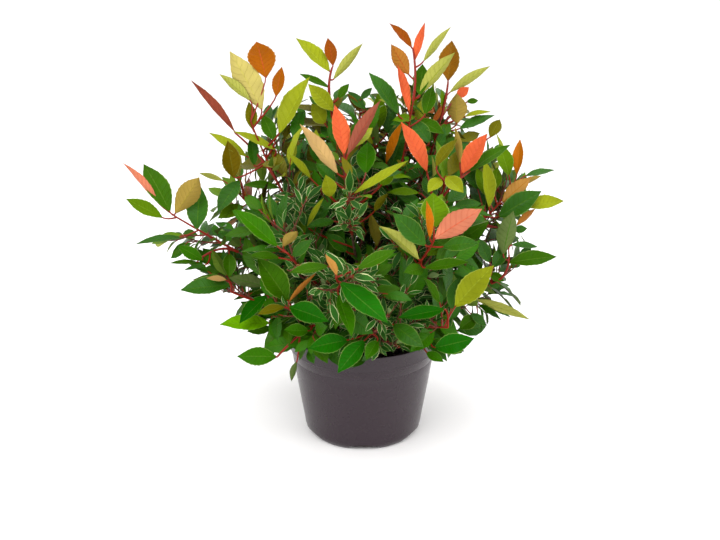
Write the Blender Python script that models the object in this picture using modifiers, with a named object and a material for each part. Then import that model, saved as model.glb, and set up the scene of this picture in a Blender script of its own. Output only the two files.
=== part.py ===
"""A potted red tip photinia: a bushy evergreen shrub in a round plastic nursery pot.

Metres, +Z up. The pot stands on z = 0 with its axis on Z, and the plant's front faces -Y.
A short trunk rises from the compost, boughs leave it all the way round, and each bough ends
where it enters its own mass of foliage. The space of a mass is the set of points nearer to its
own middle than to any other mass's, so no two masses meet.
"""

import math
import random
from typing import NamedTuple

import bmesh
import bpy
from mathutils import Matrix, Quaternion, Vector
from mathutils.bvhtree import BVHTree

COLLECTION_NAME = "red_tip_photinia"
GAP = 0.0003

# The pot: a nursery container 20 cm across the rim, which holds 3.5 litres.
POT_HEIGHT = 0.142
RIM_RADIUS = 0.100
BAND_HEIGHT = 0.025
BAND_DRAFT = 0.0012
BAND_LEDGE = 0.0011
HEEL_RADIUS = 0.0795
HEEL_HEIGHT = 0.015
HEEL_BULGE = math.radians(50)
GROUND_RADIUS = 0.0735
WALL = 0.0014
FLOOR = 0.0025
POT_SIDES = 32
ARCH_COUNT = 6
ARCH_WIDTH = 0.044
ARCH_HEIGHT = 0.008
ARCH_INNER_RADIUS = 0.062
ARCH_OUTER_RADIUS = 0.085

# The compost: flat round the trunk, and a little lower at the wall.
COMPOST_TOP = 0.126
COMPOST_EDGE = 0.121
COMPOST_FLAT_RADIUS = 0.022

# The trunk: heights above the compost and radii there, from the root flare to the fork.
TRUNK_TAPER = ((0.0, 0.0092), (0.004, 0.0074), (0.011, 0.0064), (0.035, 0.0058), (0.086, 0.0034))
TRUNK_LEAN = Vector((0.05, -0.03, 0.0))
UPRIGHT_FOOT = 0.011

# The boughs, from the side of the trunk to their masses.
LOWEST_BOUGH = 0.0125
BOUGH_STEP = 0.0030
BOUGH_RADIUS = 0.0024
TIP_RADIUS = 0.0009
BOUGH_POINTS = 4
STEM_PARTS = 4
STEM_FATNESS = 1.3
CONTROL_REACH = 0.60
EARLIEST_MASS = 0.37
ENTRY_STEP = 0.02
MASS_MIDDLE = 0.80
MASS_MARGIN = 0.0004

# The crown's lowest and highest corners.
CROWN_LOW = Vector((-0.300, -0.256, 0.085))
CROWN_HIGH = Vector((0.258, 0.250, 0.542))

# The foliage: shoots that turn by the golden angle, and leaves that turn by two fifths.
SIDE_SHOOTS = 6
FIRST_SHOOT = 0.4
SHOOT_TURN = math.radians(137.5)
SHOOT_LENGTHS = (0.080, 0.045)
SHOOT_ANGLES = (math.radians(56), math.radians(36))
SHOOT_RADII = (0.0013, 0.0010, 0.0007)
SHOOT_LIFT = 0.22
LEAFY_LENGTH = 0.090
LEAF_TURN = math.radians(144)
LEAF_SPACING = 0.013
LEAF_LENGTHS = (0.058, 0.072)
TOP_LEAF = 0.86
LEAF_ANGLE = math.radians(14)
LEAF_OPENING = math.radians(13)
LEAF_ANGLE_CHANCE = math.radians(5)
WIDEST_RANK = 4
FACES_SKY = 0.35
LEAVES_A_MASS = 21

# A leaf, as shares of its length, and its thickness in metres.
LEAF_WIDEST = 0.44
LEAF_HALF_WIDTH = 0.215
LEAF_DEEPEST = 0.30
LEAF_FOLD = 0.045
LEAF_DROOP = 0.07
LEAF_THICKNESS = 0.0009

# A leaf or shoot that doesn't fit is tried again, turned further and a little shorter.
TRIES = 6
TRY_TURN = math.radians(50)
TRY_SHRINK = 0.94
LIMB_CLEARANCE = 0.0008
SKYWARD = Vector((0.2, 0.1, 1.0))
SEED = 7


class Limb(NamedTuple):
    """A limb from trunk to tip: where its tip is, and how much of its rise it makes on the way out."""

    name: str
    heading: float
    reach: float
    height: float
    bend: float


# Headings in degrees, anticlockwise from +X seen from above, so the front is at 270.
LIMBS = (
    Limb("left_low", 195, 0.195, 0.222, 0.45),
    Limb("right_low", 350, 0.184, 0.225, 0.45),
    Limb("front_low_left", 240, 0.150, 0.205, 0.60),
    Limb("front_low", 274, 0.160, 0.200, 0.60),
    Limb("front_low_right", 304, 0.178, 0.203, 0.60),
    Limb("back_low_left", 128, 0.168, 0.212, 0.50),
    Limb("back_low_right", 66, 0.165, 0.208, 0.50),
    Limb("far_left", 187, 0.242, 0.308, 0.55),
    Limb("back_right", 38, 0.195, 0.290, 0.40),
    Limb("back_left", 146, 0.200, 0.290, 0.40),
    Limb("front_mid", 261, 0.200, 0.284, 0.45),
    Limb("right", 2, 0.190, 0.332, 0.35),
    Limb("front_left", 238, 0.164, 0.292, 0.35),
    Limb("back", 92, 0.175, 0.320, 0.35),
    Limb("front_right", 295, 0.186, 0.316, 0.35),
    Limb("centre_right", 322, 0.130, 0.372, 0.30),
    Limb("back_upper_right", 58, 0.120, 0.395, 0.30),
    Limb("back_upper_left", 132, 0.120, 0.400, 0.30),
    Limb("upper_left", 191, 0.140, 0.425, 0.30),
    Limb("centre", 260, 0.120, 0.388, 0.30),
    Limb("upper_right", 20, 0.106, 0.416, 0.30),
    Limb("top_left", 186, 0.042, 0.453, 0.30),
    Limb("top_right", 352, 0.062, 0.447, 0.30),
    Limb("back_top", 95, 0.050, 0.450, 0.30),
)


def plain_material(name, colour, roughness):
    material = bpy.data.materials.new(name)
    material.use_nodes = True
    shader = material.node_tree.nodes["Principled BSDF"]
    shader.inputs["Base Color"].default_value = (*colour, 1.0)
    shader.inputs["Roughness"].default_value = roughness
    shader.inputs["Metallic"].default_value = 0.0
    return material


def add_object(name, data, collection, material):
    data.materials.append(material)
    item = bpy.data.objects.new(name, data)
    collection.objects.link(item)
    return item


def turned(name, profile, collection, material):
    """A turned solid: the profile starts and ends on the axis and runs down its outer side."""
    mesh = bpy.data.meshes.new(name)
    last = len(profile) - 1
    mesh.from_pydata([(radius, 0.0, z) for radius, z in profile], [(i, i + 1) for i in range(last)], [])
    item = add_object(name, mesh, collection, material)
    screw = item.modifiers.new("turn", "SCREW")
    screw.steps = screw.render_steps = POT_SIDES
    screw.use_merge_vertices = True
    screw.merge_threshold = 0.00005
    return item


def wall_radius(z):
    """The pot's outer radius between its heel and its rim band."""
    band_foot = POT_HEIGHT - BAND_HEIGHT
    top = RIM_RADIUS - BAND_DRAFT - BAND_LEDGE
    return HEEL_RADIUS + (top - HEEL_RADIUS) * (z - HEEL_HEIGHT) / (band_foot - HEEL_HEIGHT)


def make_pot(collection, cutters, material):
    """A thin-walled pot with a rim band and a rounded heel, cut by low arches between its feet."""
    band_foot = POT_HEIGHT - BAND_HEIGHT
    bulge_radius = GROUND_RADIUS + (HEEL_RADIUS - GROUND_RADIUS) * math.sin(HEEL_BULGE)
    bulge_height = HEEL_HEIGHT * (1 - math.cos(HEEL_BULGE))
    profile = (
        (0.0, FLOOR),
        (GROUND_RADIUS - WALL, FLOOR),
        (HEEL_RADIUS - WALL, HEEL_HEIGHT),
        (RIM_RADIUS - WALL, POT_HEIGHT),
        (RIM_RADIUS, POT_HEIGHT),
        (RIM_RADIUS - BAND_DRAFT, band_foot),
        (wall_radius(band_foot), band_foot),
        (HEEL_RADIUS, HEEL_HEIGHT),
        (bulge_radius, bulge_height),
        (GROUND_RADIUS, 0.0),
        (0.0, 0.0),
    )
    pot = turned("pot", profile, collection, material)
    arches = bpy.data.collections.new("arches")
    cutters.children.link(arches)
    for number in range(ARCH_COUNT):
        arches.objects.link(make_arch(number))
    cut = pot.modifiers.new("arches", "BOOLEAN")
    cut.operation = "DIFFERENCE"
    cut.operand_type = "COLLECTION"
    cut.collection = arches
    cut.solver = "EXACT"
    return pot


def make_arch(number):
    """A flattened bar that lies across the heel of the pot and cuts one arch between two feet."""
    mesh = bpy.data.meshes.new(f"arch_{number}")
    shape = bmesh.new()
    length = ARCH_OUTER_RADIUS - ARCH_INNER_RADIUS
    bmesh.ops.create_cone(shape, cap_ends=True, segments=12, radius1=0.5, radius2=0.5, depth=length)
    turn = math.radians(360 / ARCH_COUNT * (number + 0.5))
    lay = Matrix.Rotation(math.radians(90), 4, "Y")
    size = Matrix.Diagonal((1.0, ARCH_WIDTH, 2 * ARCH_HEIGHT, 1.0))
    place = Matrix.Translation(((ARCH_OUTER_RADIUS + ARCH_INNER_RADIUS) / 2, 0.0, 0.0))
    shape.transform(Matrix.Rotation(turn, 4, "Z") @ place @ size @ lay)
    shape.to_mesh(mesh)
    shape.free()
    arch = bpy.data.objects.new(mesh.name, mesh)
    arch.hide_render = True
    arch.display_type = "WIRE"
    return arch


def make_compost(collection, material):
    """The compost fills the pot to a finger's width under its rim."""
    clear = WALL + GAP
    flare = (RIM_RADIUS - HEEL_RADIUS) / (POT_HEIGHT - HEEL_HEIGHT)
    profile = (
        (0.0, COMPOST_TOP),
        (COMPOST_FLAT_RADIUS, COMPOST_TOP),
        (HEEL_RADIUS - clear + flare * (COMPOST_EDGE - HEEL_HEIGHT), COMPOST_EDGE),
        (HEEL_RADIUS - clear, HEEL_HEIGHT),
        (GROUND_RADIUS - clear, FLOOR + GAP),
        (0.0, FLOOR + GAP),
    )
    return turned("compost", profile, collection, material)


def between(table, x):
    """Reads a value from a table of (x, value) rows, in a straight line between two of them."""
    for (x0, low), (x1, high) in zip(table, table[1:]):
        if x <= x1:
            return low + (high - low) * max(x - x0, 0.0) / (x1 - x0)
    return table[-1][1]


def trunk_axis(height):
    """The middle of the trunk, height metres above the compost."""
    foot = Vector((0.0, 0.0, COMPOST_TOP + GAP + height))
    return foot + TRUNK_LEAN * max(height - UPRIGHT_FOOT, 0.0)


def tapering_limb(name, points, radii, sides_level, collection, material):
    """A round limb with flat ends, as a curve that is thinner at each point."""
    curve = bpy.data.curves.new(name, "CURVE")
    curve.dimensions = "3D"
    curve.bevel_depth = 1.0
    curve.bevel_resolution = sides_level
    curve.use_fill_caps = True
    spline = curve.splines.new("POLY")
    spline.points.add(len(points) - 1)
    for place, point, radius in zip(spline.points, points, radii):
        place.co = (*point, 1.0)
        place.radius = radius
    return add_object(name, curve, collection, material)


def make_trunk(collection, material):
    heights = [height for height, _ in TRUNK_TAPER]
    return tapering_limb(
        "trunk",
        [trunk_axis(height) for height in heights],
        [radius for _, radius in TRUNK_TAPER],
        2,
        collection,
        material,
    )


def bezier(line, t):
    start, control, end = line
    return start.lerp(control, t).lerp(control.lerp(end, t), t)


def limb_line(limb, order):
    """The curve of one limb. The flattest limb leaves the trunk lowest, and the last from its tip."""
    heading = math.radians(limb.heading)
    outward = Vector((math.cos(heading), math.sin(heading), 0.0))
    tip = outward * limb.reach + Vector((0.0, 0.0, limb.height))
    height = LOWEST_BOUGH + BOUGH_STEP * order
    axis = trunk_axis(height)
    control = outward * limb.reach * CONTROL_REACH
    control.z = axis.z + limb.bend * (limb.height - axis.z)
    climb = (control - axis).normalized().z
    clear = between(TRUNK_TAPER, height) + GAP + BOUGH_RADIUS * climb
    return axis + outward * clear, control, tip


def cell_walls(middles, own):
    """The planes round one mass, halfway to every other and at the crown's box, as (point, way out)."""
    halfway = [((own + other) / 2, (other - own).normalized()) for other in middles if other is not own]
    ways = (Vector((1.0, 0.0, 0.0)), Vector((0.0, 1.0, 0.0)), Vector((0.0, 0.0, 1.0)))
    return halfway + [(CROWN_LOW, -way) for way in ways] + [(CROWN_HIGH, way) for way in ways]


def inside(walls, points):
    return all(
        (point - middle).dot(away) < -MASS_MARGIN for middle, away in walls for point in points
    )


def entry(line, walls):
    """How far along its limb a mass begins: where the limb enters the mass's space for good."""
    t = 1.0
    while t > EARLIEST_MASS and inside(walls, [bezier(line, t - ENTRY_STEP)]):
        t -= ENTRY_STEP
    return t


def limb_radius(t):
    """A limb's radius, t of the way from the trunk to its tip."""
    return BOUGH_RADIUS + (TIP_RADIUS - BOUGH_RADIUS) * t


def make_bough(limb, line, end, collection, material):
    steps = [end * i / (BOUGH_POINTS - 1) for i in range(BOUGH_POINTS)]
    return tapering_limb(
        "bough_" + limb.name,
        [bezier(line, t) for t in steps],
        [limb_radius(t) for t in steps],
        1,
        collection,
        material,
    )


def surface_tree(objects, clearance):
    """The surface of these objects, moved out by the clearance, to test other shapes against."""
    graph = bpy.context.evaluated_depsgraph_get()
    points, faces = [], []
    for item in objects:
        evaluated = item.evaluated_get(graph)
        mesh = evaluated.to_mesh()
        first = len(points)
        points += [item.matrix_world @ (v.co + v.normal * clearance) for v in mesh.vertices]
        faces += [[first + i for i in face.vertices] for face in mesh.polygons]
        evaluated.to_mesh_clear()
    return BVHTree.FromPolygons(points, faces)


def twig_shape(points, radii):
    """A three-sided twig: a triangle pushed out from point to point, turned and narrowed each time."""
    shape = bmesh.new()
    heading = (points[1] - points[0]).normalized()
    start = Matrix.Translation(points[0]) @ heading.to_track_quat("Z", "X").to_matrix().to_4x4()
    bmesh.ops.create_circle(shape, cap_ends=True, segments=3, radius=radii[0], matrix=start)
    end = shape.faces[:][0]
    for i in range(1, len(points)):
        pushed = bmesh.ops.extrude_face_region(shape, geom=[end, *end.edges, *end.verts])
        end = next(item for item in pushed["geom"] if isinstance(item, bmesh.types.BMFace))
        after = points[min(i + 1, len(points) - 1)] - points[i - 1]
        turn = heading.rotation_difference(after)
        heading = after.normalized()
        narrow = radii[i] / radii[i - 1]
        for vert in end.verts:
            vert.co = points[i] + turn @ (vert.co - points[i - 1]) * narrow
    bmesh.ops.recalc_face_normals(shape, faces=shape.faces)
    return shape


def leaf_shape(base, along, face, length):
    """A leaf of eight faces: a flattened octahedron with a fold down its middle and a drooping tip."""
    shape = bmesh.new()
    bmesh.ops.create_uvsphere(shape, u_segments=4, v_segments=2, radius=1.0)
    for vert in shape.verts:
        x, y, z = vert.co
        if abs(y) > 0.5:
            vert.co = (LEAF_WIDEST * length, y * LEAF_HALF_WIDTH * length, 0.0)
        elif abs(z) > 0.5:
            vert.co = (LEAF_DEEPEST * length, 0.0, z * LEAF_THICKNESS / 2 - LEAF_FOLD * length)
        elif x > 0.5:
            vert.co = (length, 0.0, -LEAF_DROOP * length)
        else:
            vert.co = (0.0, 0.0, 0.0)
    across = face.cross(along).normalized()
    frame = Matrix((along, across, along.cross(across))).transposed().to_4x4()
    shape.transform(Matrix.Translation(base) @ frame)
    bmesh.ops.recalc_face_normals(shape, faces=shape.faces)
    return shape


def away_from(axis, turn):
    """A direction square to axis, turned about it by this angle from its upper side."""
    side = (SKYWARD - axis * SKYWARD.dot(axis)).normalized()
    return Quaternion(axis, turn) @ side


def side_shoot(line, t, share, turn, shrink):
    """The points of one side shoot, which leaves the stem at an angle and then lifts."""
    base = bezier(line, t)
    axis = (bezier(line, t + 0.01) - base).normalized()
    angle = SHOOT_ANGLES[0] + (SHOOT_ANGLES[1] - SHOOT_ANGLES[0]) * share
    length = (SHOOT_LENGTHS[0] + (SHOOT_LENGTHS[1] - SHOOT_LENGTHS[0]) * share) * shrink
    out = away_from(axis, turn)
    direction = axis * math.cos(angle) + out * math.sin(angle)
    lift = Vector((0.0, 0.0, SHOOT_LIFT * length))
    last = len(SHOOT_RADII) - 1
    return [base + direction * length * i / last + lift * (i / last) ** 2 for i in range(last + 1)]


class Bud(NamedTuple):
    """A place for a leaf on a shoot. Its rank counts from the shoot's tip."""

    rank: int
    shoot: int
    base: Vector
    axis: Vector
    angle: float
    turn: float
    length: float


def buds_of(shoot, points, chance):
    """The buds of one shoot, whose leaves open wider the further they are from its tip."""
    lengths = [(b - a).length for a, b in zip(points, points[1:])]
    first_turn = chance.uniform(0.0, 2 * math.pi)
    found = []
    for rank in range(1 + int(min(LEAFY_LENGTH, sum(lengths) * 0.9) / LEAF_SPACING)):
        left = sum(lengths) - rank * LEAF_SPACING - LEAF_THICKNESS
        part = 0
        while left > lengths[part]:
            left -= lengths[part]
            part += 1
        axis = (points[part + 1] - points[part]).normalized()
        angle = LEAF_ANGLE + LEAF_OPENING * min(rank, WIDEST_RANK)
        angle += chance.uniform(-LEAF_ANGLE_CHANCE, LEAF_ANGLE_CHANCE)
        turn = first_turn + LEAF_TURN * rank
        length = chance.uniform(*LEAF_LENGTHS) * (TOP_LEAF if rank == 0 else 1.0)
        found.append(Bud(rank, shoot, points[part] + axis * left, axis, angle, turn, length))
    return found


def leaf_at(bud, number):
    """The leaf of one bud, turned and shortened a little more with each try."""
    turn = bud.turn + TRY_TURN * number
    out = away_from(bud.axis, turn)
    along = bud.axis * math.cos(bud.angle) + out * math.sin(bud.angle)
    upper = bud.axis - along * bud.axis.dot(along) + Vector((0.0, 0.0, FACES_SKY))
    return leaf_shape(bud.base, along, upper, bud.length * TRY_SHRINK**number)


def first_that_fits(shapes, walls, obstacles):
    """The first of these shapes that keeps to its space and touches nothing, with its tree."""
    for shape in shapes:
        tree = BVHTree.FromBMesh(shape)
        within = inside(walls, [vert.co for vert in shape.verts])
        if within and not any(tree.overlap(other) for other in obstacles):
            return shape, tree
        shape.free()
    return None


def grow_mass(line, start, walls, limbs, chance):
    """The shapes of one mass: its stem, the side shoots and the leaves that keep to its space."""
    start += 0.01 * GAP / (bezier(line, start + 0.01) - bezier(line, start)).length
    steps = [start + (1 - start) * i / STEM_PARTS for i in range(STEM_PARTS + 1)]
    lines = [[bezier(line, t) for t in steps]]
    twigs = [twig_shape(lines[0], [STEM_FATNESS * limb_radius(t) for t in steps])]
    for number in range(SIDE_SHOOTS):
        share = (number + FIRST_SHOOT) / SIDE_SHOOTS
        t = start + (1 - start) * share
        tries = [
            side_shoot(line, t, share, SHOOT_TURN * number + TRY_TURN * i, TRY_SHRINK**i)
            for i in range(TRIES)
        ]
        for points in tries:
            found = first_that_fits([twig_shape(points, SHOOT_RADII)], walls, [limbs])
            if found:
                lines.append(points)
                twigs.append(found[0])
                break
    trees = [BVHTree.FromBMesh(shape) for shape in twigs]
    buds = [bud for number, points in enumerate(lines) for bud in buds_of(number, points, chance)]
    leaves = []
    for bud in sorted(buds, key=lambda bud: bud.rank):
        others = [limbs, *trees[: bud.shoot], *trees[bud.shoot + 1 :], *(tree for _, tree in leaves)]
        tries = (leaf_at(bud, number) for number in range(TRIES))
        found = first_that_fits(tries, walls, others) if len(leaves) < LEAVES_A_MASS else None
        if found:
            leaves.append(found)
    return twigs, [shape for shape, _ in leaves]


def object_of(name, shape, collection, material):
    mesh = bpy.data.meshes.new(name)
    shape.to_mesh(mesh)
    shape.free()
    return add_object(name, mesh, collection, material)


def fuse(name, twigs, leaves, collection, twig_material, leaf_material):
    """One mass as one solid: a Boolean union of its stem with its side shoots and leaves."""
    stem, *rest = twigs
    mass = object_of(name, stem, collection, twig_material)
    group = bpy.data.collections.new("fused_" + name)
    bpy.context.scene.collection.children.link(group)
    for number, shape in enumerate(rest):
        object_of(f"{name}_shoot_{number}", shape, group, twig_material)
    for number, shape in enumerate(leaves):
        object_of(f"{name}_leaf_{number}", shape, group, leaf_material)
    union = mass.modifiers.new("union", "BOOLEAN")
    union.operation = "UNION"
    union.operand_type = "COLLECTION"
    union.collection = group
    union.solver = "EXACT"
    union.material_mode = "TRANSFER"
    with bpy.context.temp_override(object=mass, active_object=mass, selected_objects=[mass]):
        bpy.ops.object.modifier_apply(modifier=union.name)
    for item in list(group.objects):
        bpy.data.objects.remove(item)
    bpy.data.collections.remove(group)
    return mass


def main():
    for item in list(bpy.data.objects):
        bpy.data.objects.remove(item)
    scene = bpy.context.scene.collection
    plant = bpy.data.collections.new(COLLECTION_NAME)
    cutters = bpy.data.collections.new("cutters")
    scene.children.link(plant)
    scene.children.link(cutters)

    plastic = plain_material("pot_plastic", (0.045, 0.040, 0.043), 0.38)
    soil = plain_material("compost", (0.030, 0.019, 0.012), 0.95)
    bark = plain_material("bark", (0.130, 0.062, 0.034), 0.80)
    young_bark = plain_material("young_bark", (0.330, 0.040, 0.022), 0.55)
    leaf = plain_material("leaf", (0.060, 0.170, 0.022), 0.42)

    pot = make_pot(plant, cutters, plastic)
    compost = make_compost(plant, soil)
    trunk = make_trunk(plant, bark)
    lines = [limb_line(limb, order) for order, limb in enumerate(LIMBS)]
    middles = [bezier(line, MASS_MIDDLE) for line in lines]
    walls = [cell_walls(middles, middle) for middle in middles]
    starts = [entry(line, own) for line, own in zip(lines, walls)]
    boughs = [
        make_bough(limb, line, start, plant, bark) for limb, line, start in zip(LIMBS, lines, starts)
    ]
    limbs = surface_tree([pot, compost, trunk, *boughs], LIMB_CLEARANCE)
    for order, limb in enumerate(LIMBS):
        chance = random.Random(SEED + order)
        twigs, leaves = grow_mass(lines[order], starts[order], walls[order], limbs, chance)
        fuse("leaves_" + limb.name, twigs, leaves, plant, young_bark, leaf)


main()
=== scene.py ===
import math
import random

import bmesh
import bpy
import numpy as np
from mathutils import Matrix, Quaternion, Vector


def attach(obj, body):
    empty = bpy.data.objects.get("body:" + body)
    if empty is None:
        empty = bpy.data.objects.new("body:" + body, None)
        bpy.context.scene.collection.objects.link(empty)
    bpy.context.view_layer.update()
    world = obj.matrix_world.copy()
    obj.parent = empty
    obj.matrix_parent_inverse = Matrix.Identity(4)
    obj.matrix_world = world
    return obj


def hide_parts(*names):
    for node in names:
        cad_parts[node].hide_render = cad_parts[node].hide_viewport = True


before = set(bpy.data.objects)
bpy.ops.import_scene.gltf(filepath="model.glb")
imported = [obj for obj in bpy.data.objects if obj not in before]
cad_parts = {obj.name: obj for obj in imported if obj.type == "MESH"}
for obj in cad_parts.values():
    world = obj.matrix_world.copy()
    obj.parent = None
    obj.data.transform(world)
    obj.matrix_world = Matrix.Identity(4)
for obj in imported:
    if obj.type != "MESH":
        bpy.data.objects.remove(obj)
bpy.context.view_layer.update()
bpy.ops.object.select_all(action="DESELECT")

# The pot: a nursery container for 3.5 litres, injection moulded in dark grey polypropylene. It has
# a rim band over a fine ledge, a rolled lip, a rounded heel, and six low arches between its feet.
POT_SIDES = 96
POT_OUTSIDE = (
    (0.0722, 0.0000),
    (0.0737, 0.0006),
    (0.0752, 0.0022),
    (0.0768, 0.0043),
    (0.0781, 0.0068),
    (0.0789, 0.0100),
    (0.0796, 0.0150),
    (0.0828, 0.0350),
    (0.0877, 0.0650),
    (0.0924, 0.0950),
    (0.0948, 0.1088),
    (0.0947, 0.1091),
    (0.0949, 0.1094),
    (0.0971, 0.1208),
    (0.0976, 0.1212),
    (0.0983, 0.1214),
    (0.0987, 0.1218),
    (0.0988, 0.1222),
    (0.0987, 0.1226),
    (0.0988, 0.1260),
    (0.0995, 0.1370),
    (0.1000, 0.1392),
    (0.1002, 0.1406),
    (0.0999, 0.1415),
    (0.0992, 0.1420),
    (0.0985, 0.1417),
    (0.0981, 0.1408),
)
POT_INSIDE = (
    (0.0978, 0.1370),
    (0.0948, 0.1160),
    (0.0908, 0.0950),
    (0.0832, 0.0450),
    (0.0782, 0.0150),
    (0.0720, 0.0028),
)
POT_WELD = 0.00004
ARCHES = 6
ARCH_RADIUS = 0.0735
# The width, height and depth of the drum that cuts an arch. Its lower half is under the foot.
ARCH_SIZE = (0.044, 0.016, 0.023)


def weld(piece, reach):
    """Merges a piece's points that lie within reach of each other, and takes out its slivers."""
    bpy.context.view_layer.objects.active = piece
    bpy.ops.object.mode_set(mode="EDIT")
    bpy.ops.mesh.select_all(action="SELECT")
    bpy.ops.mesh.remove_doubles(threshold=reach)
    bpy.ops.mesh.dissolve_degenerate(threshold=reach)
    bpy.ops.object.mode_set(mode="OBJECT")


def shaped_by(piece, kind, **settings):
    """Puts a modifier on a piece, and applies it at once."""
    modifier = piece.modifiers.new(kind.lower(), kind)
    for name, value in settings.items():
        setattr(modifier, name, value)
    bpy.context.view_layer.objects.active = piece
    bpy.ops.object.modifier_apply(modifier=modifier.name)


def drawn_up(name, rings, sides):
    """A disc drawn up through rings of (radius, height), as a solid that is round about Z."""
    radius, height = rings[0]
    bpy.ops.mesh.primitive_circle_add(
        vertices=sides, radius=radius, fill_type="NGON", location=(0, 0, height)
    )
    piece = bpy.context.active_object
    piece.name = name
    bpy.ops.object.mode_set(mode="EDIT")
    for ring in rings[1:]:
        bpy.ops.mesh.extrude_region_move(TRANSFORM_OT_translate={"value": (0, 0, ring[1] - height)})
        share = ring[0] / radius
        bpy.ops.transform.resize(value=(share, share, 1))
        radius, height = ring
    bpy.ops.mesh.select_all(action="SELECT")
    bpy.ops.mesh.normals_make_consistent(inside=False)
    bpy.ops.object.mode_set(mode="OBJECT")
    bpy.ops.object.transform_apply(location=True, rotation=True, scale=True)
    return piece


def pick(piece):
    """Makes a piece the only one selected, and the active one."""
    bpy.ops.object.select_all(action="DESELECT")
    piece.select_set(True)
    bpy.context.view_layer.objects.active = piece


def settle(piece, replaced, angle=35):
    """Smooths the piece, says what it rides on, and hides the parts that it stands for."""
    pick(piece)
    bpy.ops.object.shade_smooth_by_angle(angle=math.radians(angle))
    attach(piece, "root")
    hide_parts(*replaced)
    bpy.ops.object.select_all(action="DESELECT")


def colour(red, green, blue):
    """A colour given as 0 to 255 on a screen, as the linear colour that a shader takes."""
    return tuple(
        ((c / 255 + 0.055) / 1.055) ** 2.4 if c > 10 else c / 3295 for c in (red, green, blue)
    )


def fed(tree, made, **inputs):
    """Sets a node's inputs to values, or links them to the outputs of other nodes."""
    for name, value in inputs.items():
        entry = made.inputs[name.replace("_", " ")]
        if isinstance(value, bpy.types.NodeSocket):
            tree.links.new(value, entry)
        else:
            entry.default_value = value


def new_node(tree, kind, settings=None, **inputs):
    """A new shader node with its settings made, and then its inputs set or linked."""
    made = tree.nodes.new(kind)
    for name, value in (settings or {}).items():
        setattr(made, name, value)
    fed(tree, made, **inputs)
    return made


def node_group(name, inputs, outputs):
    """A new group of shader nodes with named inputs of one value each, and its two ends."""
    group = bpy.data.node_groups.new(name, "ShaderNodeTree")
    for label, value in inputs.items():
        entry = group.interface.new_socket(
            name=label, in_out="INPUT", socket_type="NodeSocketFloat"
        )
        entry.default_value = value
    for label in outputs:
        group.interface.new_socket(name=label, in_out="OUTPUT", socket_type="NodeSocketFloat")
    return group, new_node(group, "NodeGroupInput").outputs, new_node(group, "NodeGroupOutput")


# Mottle is the uneven patchiness that dust, weather and handling leave on each of the finishes.
mottle, inlet, outlet = node_group("mottle", {"Scale": 40.0, "Low": 0.0, "High": 1.0}, ["Value"])
place = new_node(mottle, "ShaderNodeTexCoord").outputs["Object"]
patches = new_node(mottle, "ShaderNodeTexNoise", Vector=place, Scale=inlet["Scale"], Detail=4.0)
spread = new_node(
    mottle, "ShaderNodeMapRange", Value=patches.outputs["Fac"], From_Min=0.32, From_Max=0.68,
    To_Min=inlet["Low"], To_Max=inlet["High"],
)
fed(mottle, outlet, Value=spread.outputs["Result"])


def mottled(tree, scale, low, high):
    """Patches of a given scale, as a value that wanders from low to high."""
    patchy = new_node(
        tree, "ShaderNodeGroup", {"node_tree": mottle}, Scale=scale, Low=low, High=high
    )
    return patchy.outputs["Value"]


def plain_finish(name, base, patch_scale, gloss):
    """A finish of one base colour, whose roughness wanders between two values."""
    material = bpy.data.materials.new(name)
    material.use_nodes = True
    tree = material.node_tree
    shader = tree.nodes["Principled BSDF"]
    fed(tree, shader, Base_Color=(*base, 1.0), Roughness=mottled(tree, patch_scale, *gloss))
    return material, tree, shader


def finish(name, base, gloss, grain, relief):
    """A plain finish that has a fine grain."""
    material, tree, shader = plain_finish(name, base, 55.0, gloss)
    place = new_node(tree, "ShaderNodeTexCoord").outputs["Object"]
    texture = new_node(tree, "ShaderNodeTexNoise", Vector=place, Scale=grain, Detail=5.0)
    bump = new_node(tree, "ShaderNodeBump", Height=texture.outputs["Fac"], Distance=relief)
    fed(tree, shader, Normal=bump.outputs["Normal"])
    return material


def mix_in(tree, shader, first, other, share):
    """Mixes a second colour into the first, for the base colour of a finish."""
    mix = new_node(
        tree, "ShaderNodeMix", {"data_type": "RGBA"}, A=first, B=(*other, 1.0), Factor=share
    )
    fed(tree, shader, Base_Color=mix.outputs["Result"])
    return mix.outputs["Result"]


def two_tone(material, other, scale, low=0.0, high=1.0):
    """Lets a second colour show through the first in patches."""
    tree = material.node_tree
    shader = tree.nodes["Principled BSDF"]
    base = shader.inputs["Base Color"].default_value
    return mix_in(tree, shader, base, other, mottled(tree, scale, low, high))


pot = drawn_up("pot_shell", POT_OUTSIDE + POT_INSIDE, POT_SIDES)
for number in range(ARCHES):
    turn = math.radians(360 / ARCHES * (number + 0.5))
    bpy.ops.mesh.primitive_cylinder_add(
        vertices=32,
        radius=0.5,
        depth=1.0,
        rotation=(math.radians(90), 0, turn + math.radians(90)),
        location=(ARCH_RADIUS * math.cos(turn), ARCH_RADIUS * math.sin(turn), 0),
    )
    arch = bpy.context.active_object
    arch.scale = ARCH_SIZE
    bpy.ops.object.transform_apply(location=True, rotation=True, scale=True)
    shaped_by(pot, "BOOLEAN", operation="DIFFERENCE", object=arch, solver="EXACT")
    bpy.data.objects.remove(arch)
weld(pot, POT_WELD)
plastic = finish("pot plastic", colour(36, 22, 31), (0.25, 0.29), 420, 0.00001)
two_tone(plastic, colour(42, 29, 37), 9.0, 0.0, 0.7)
plastic.node_tree.nodes["Principled BSDF"].inputs["Specular IOR Level"].default_value = 0.38
pot.data.materials.append(plastic)
settle(pot, ["pot"])

# The compost: dark peat and fine bark, filled to a finger's width below the rim and settled
# uneven by watering, with crumbs and chips lying loose on it.
COMPOST_RINGS = ((0.0718, 0.0030), (0.0776, 0.0150), (0.0940, 0.1205))
COMPOST_SIDES = 90
COMPOST_STEPS = 15
COMPOST_STEP = 0.0057
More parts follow.
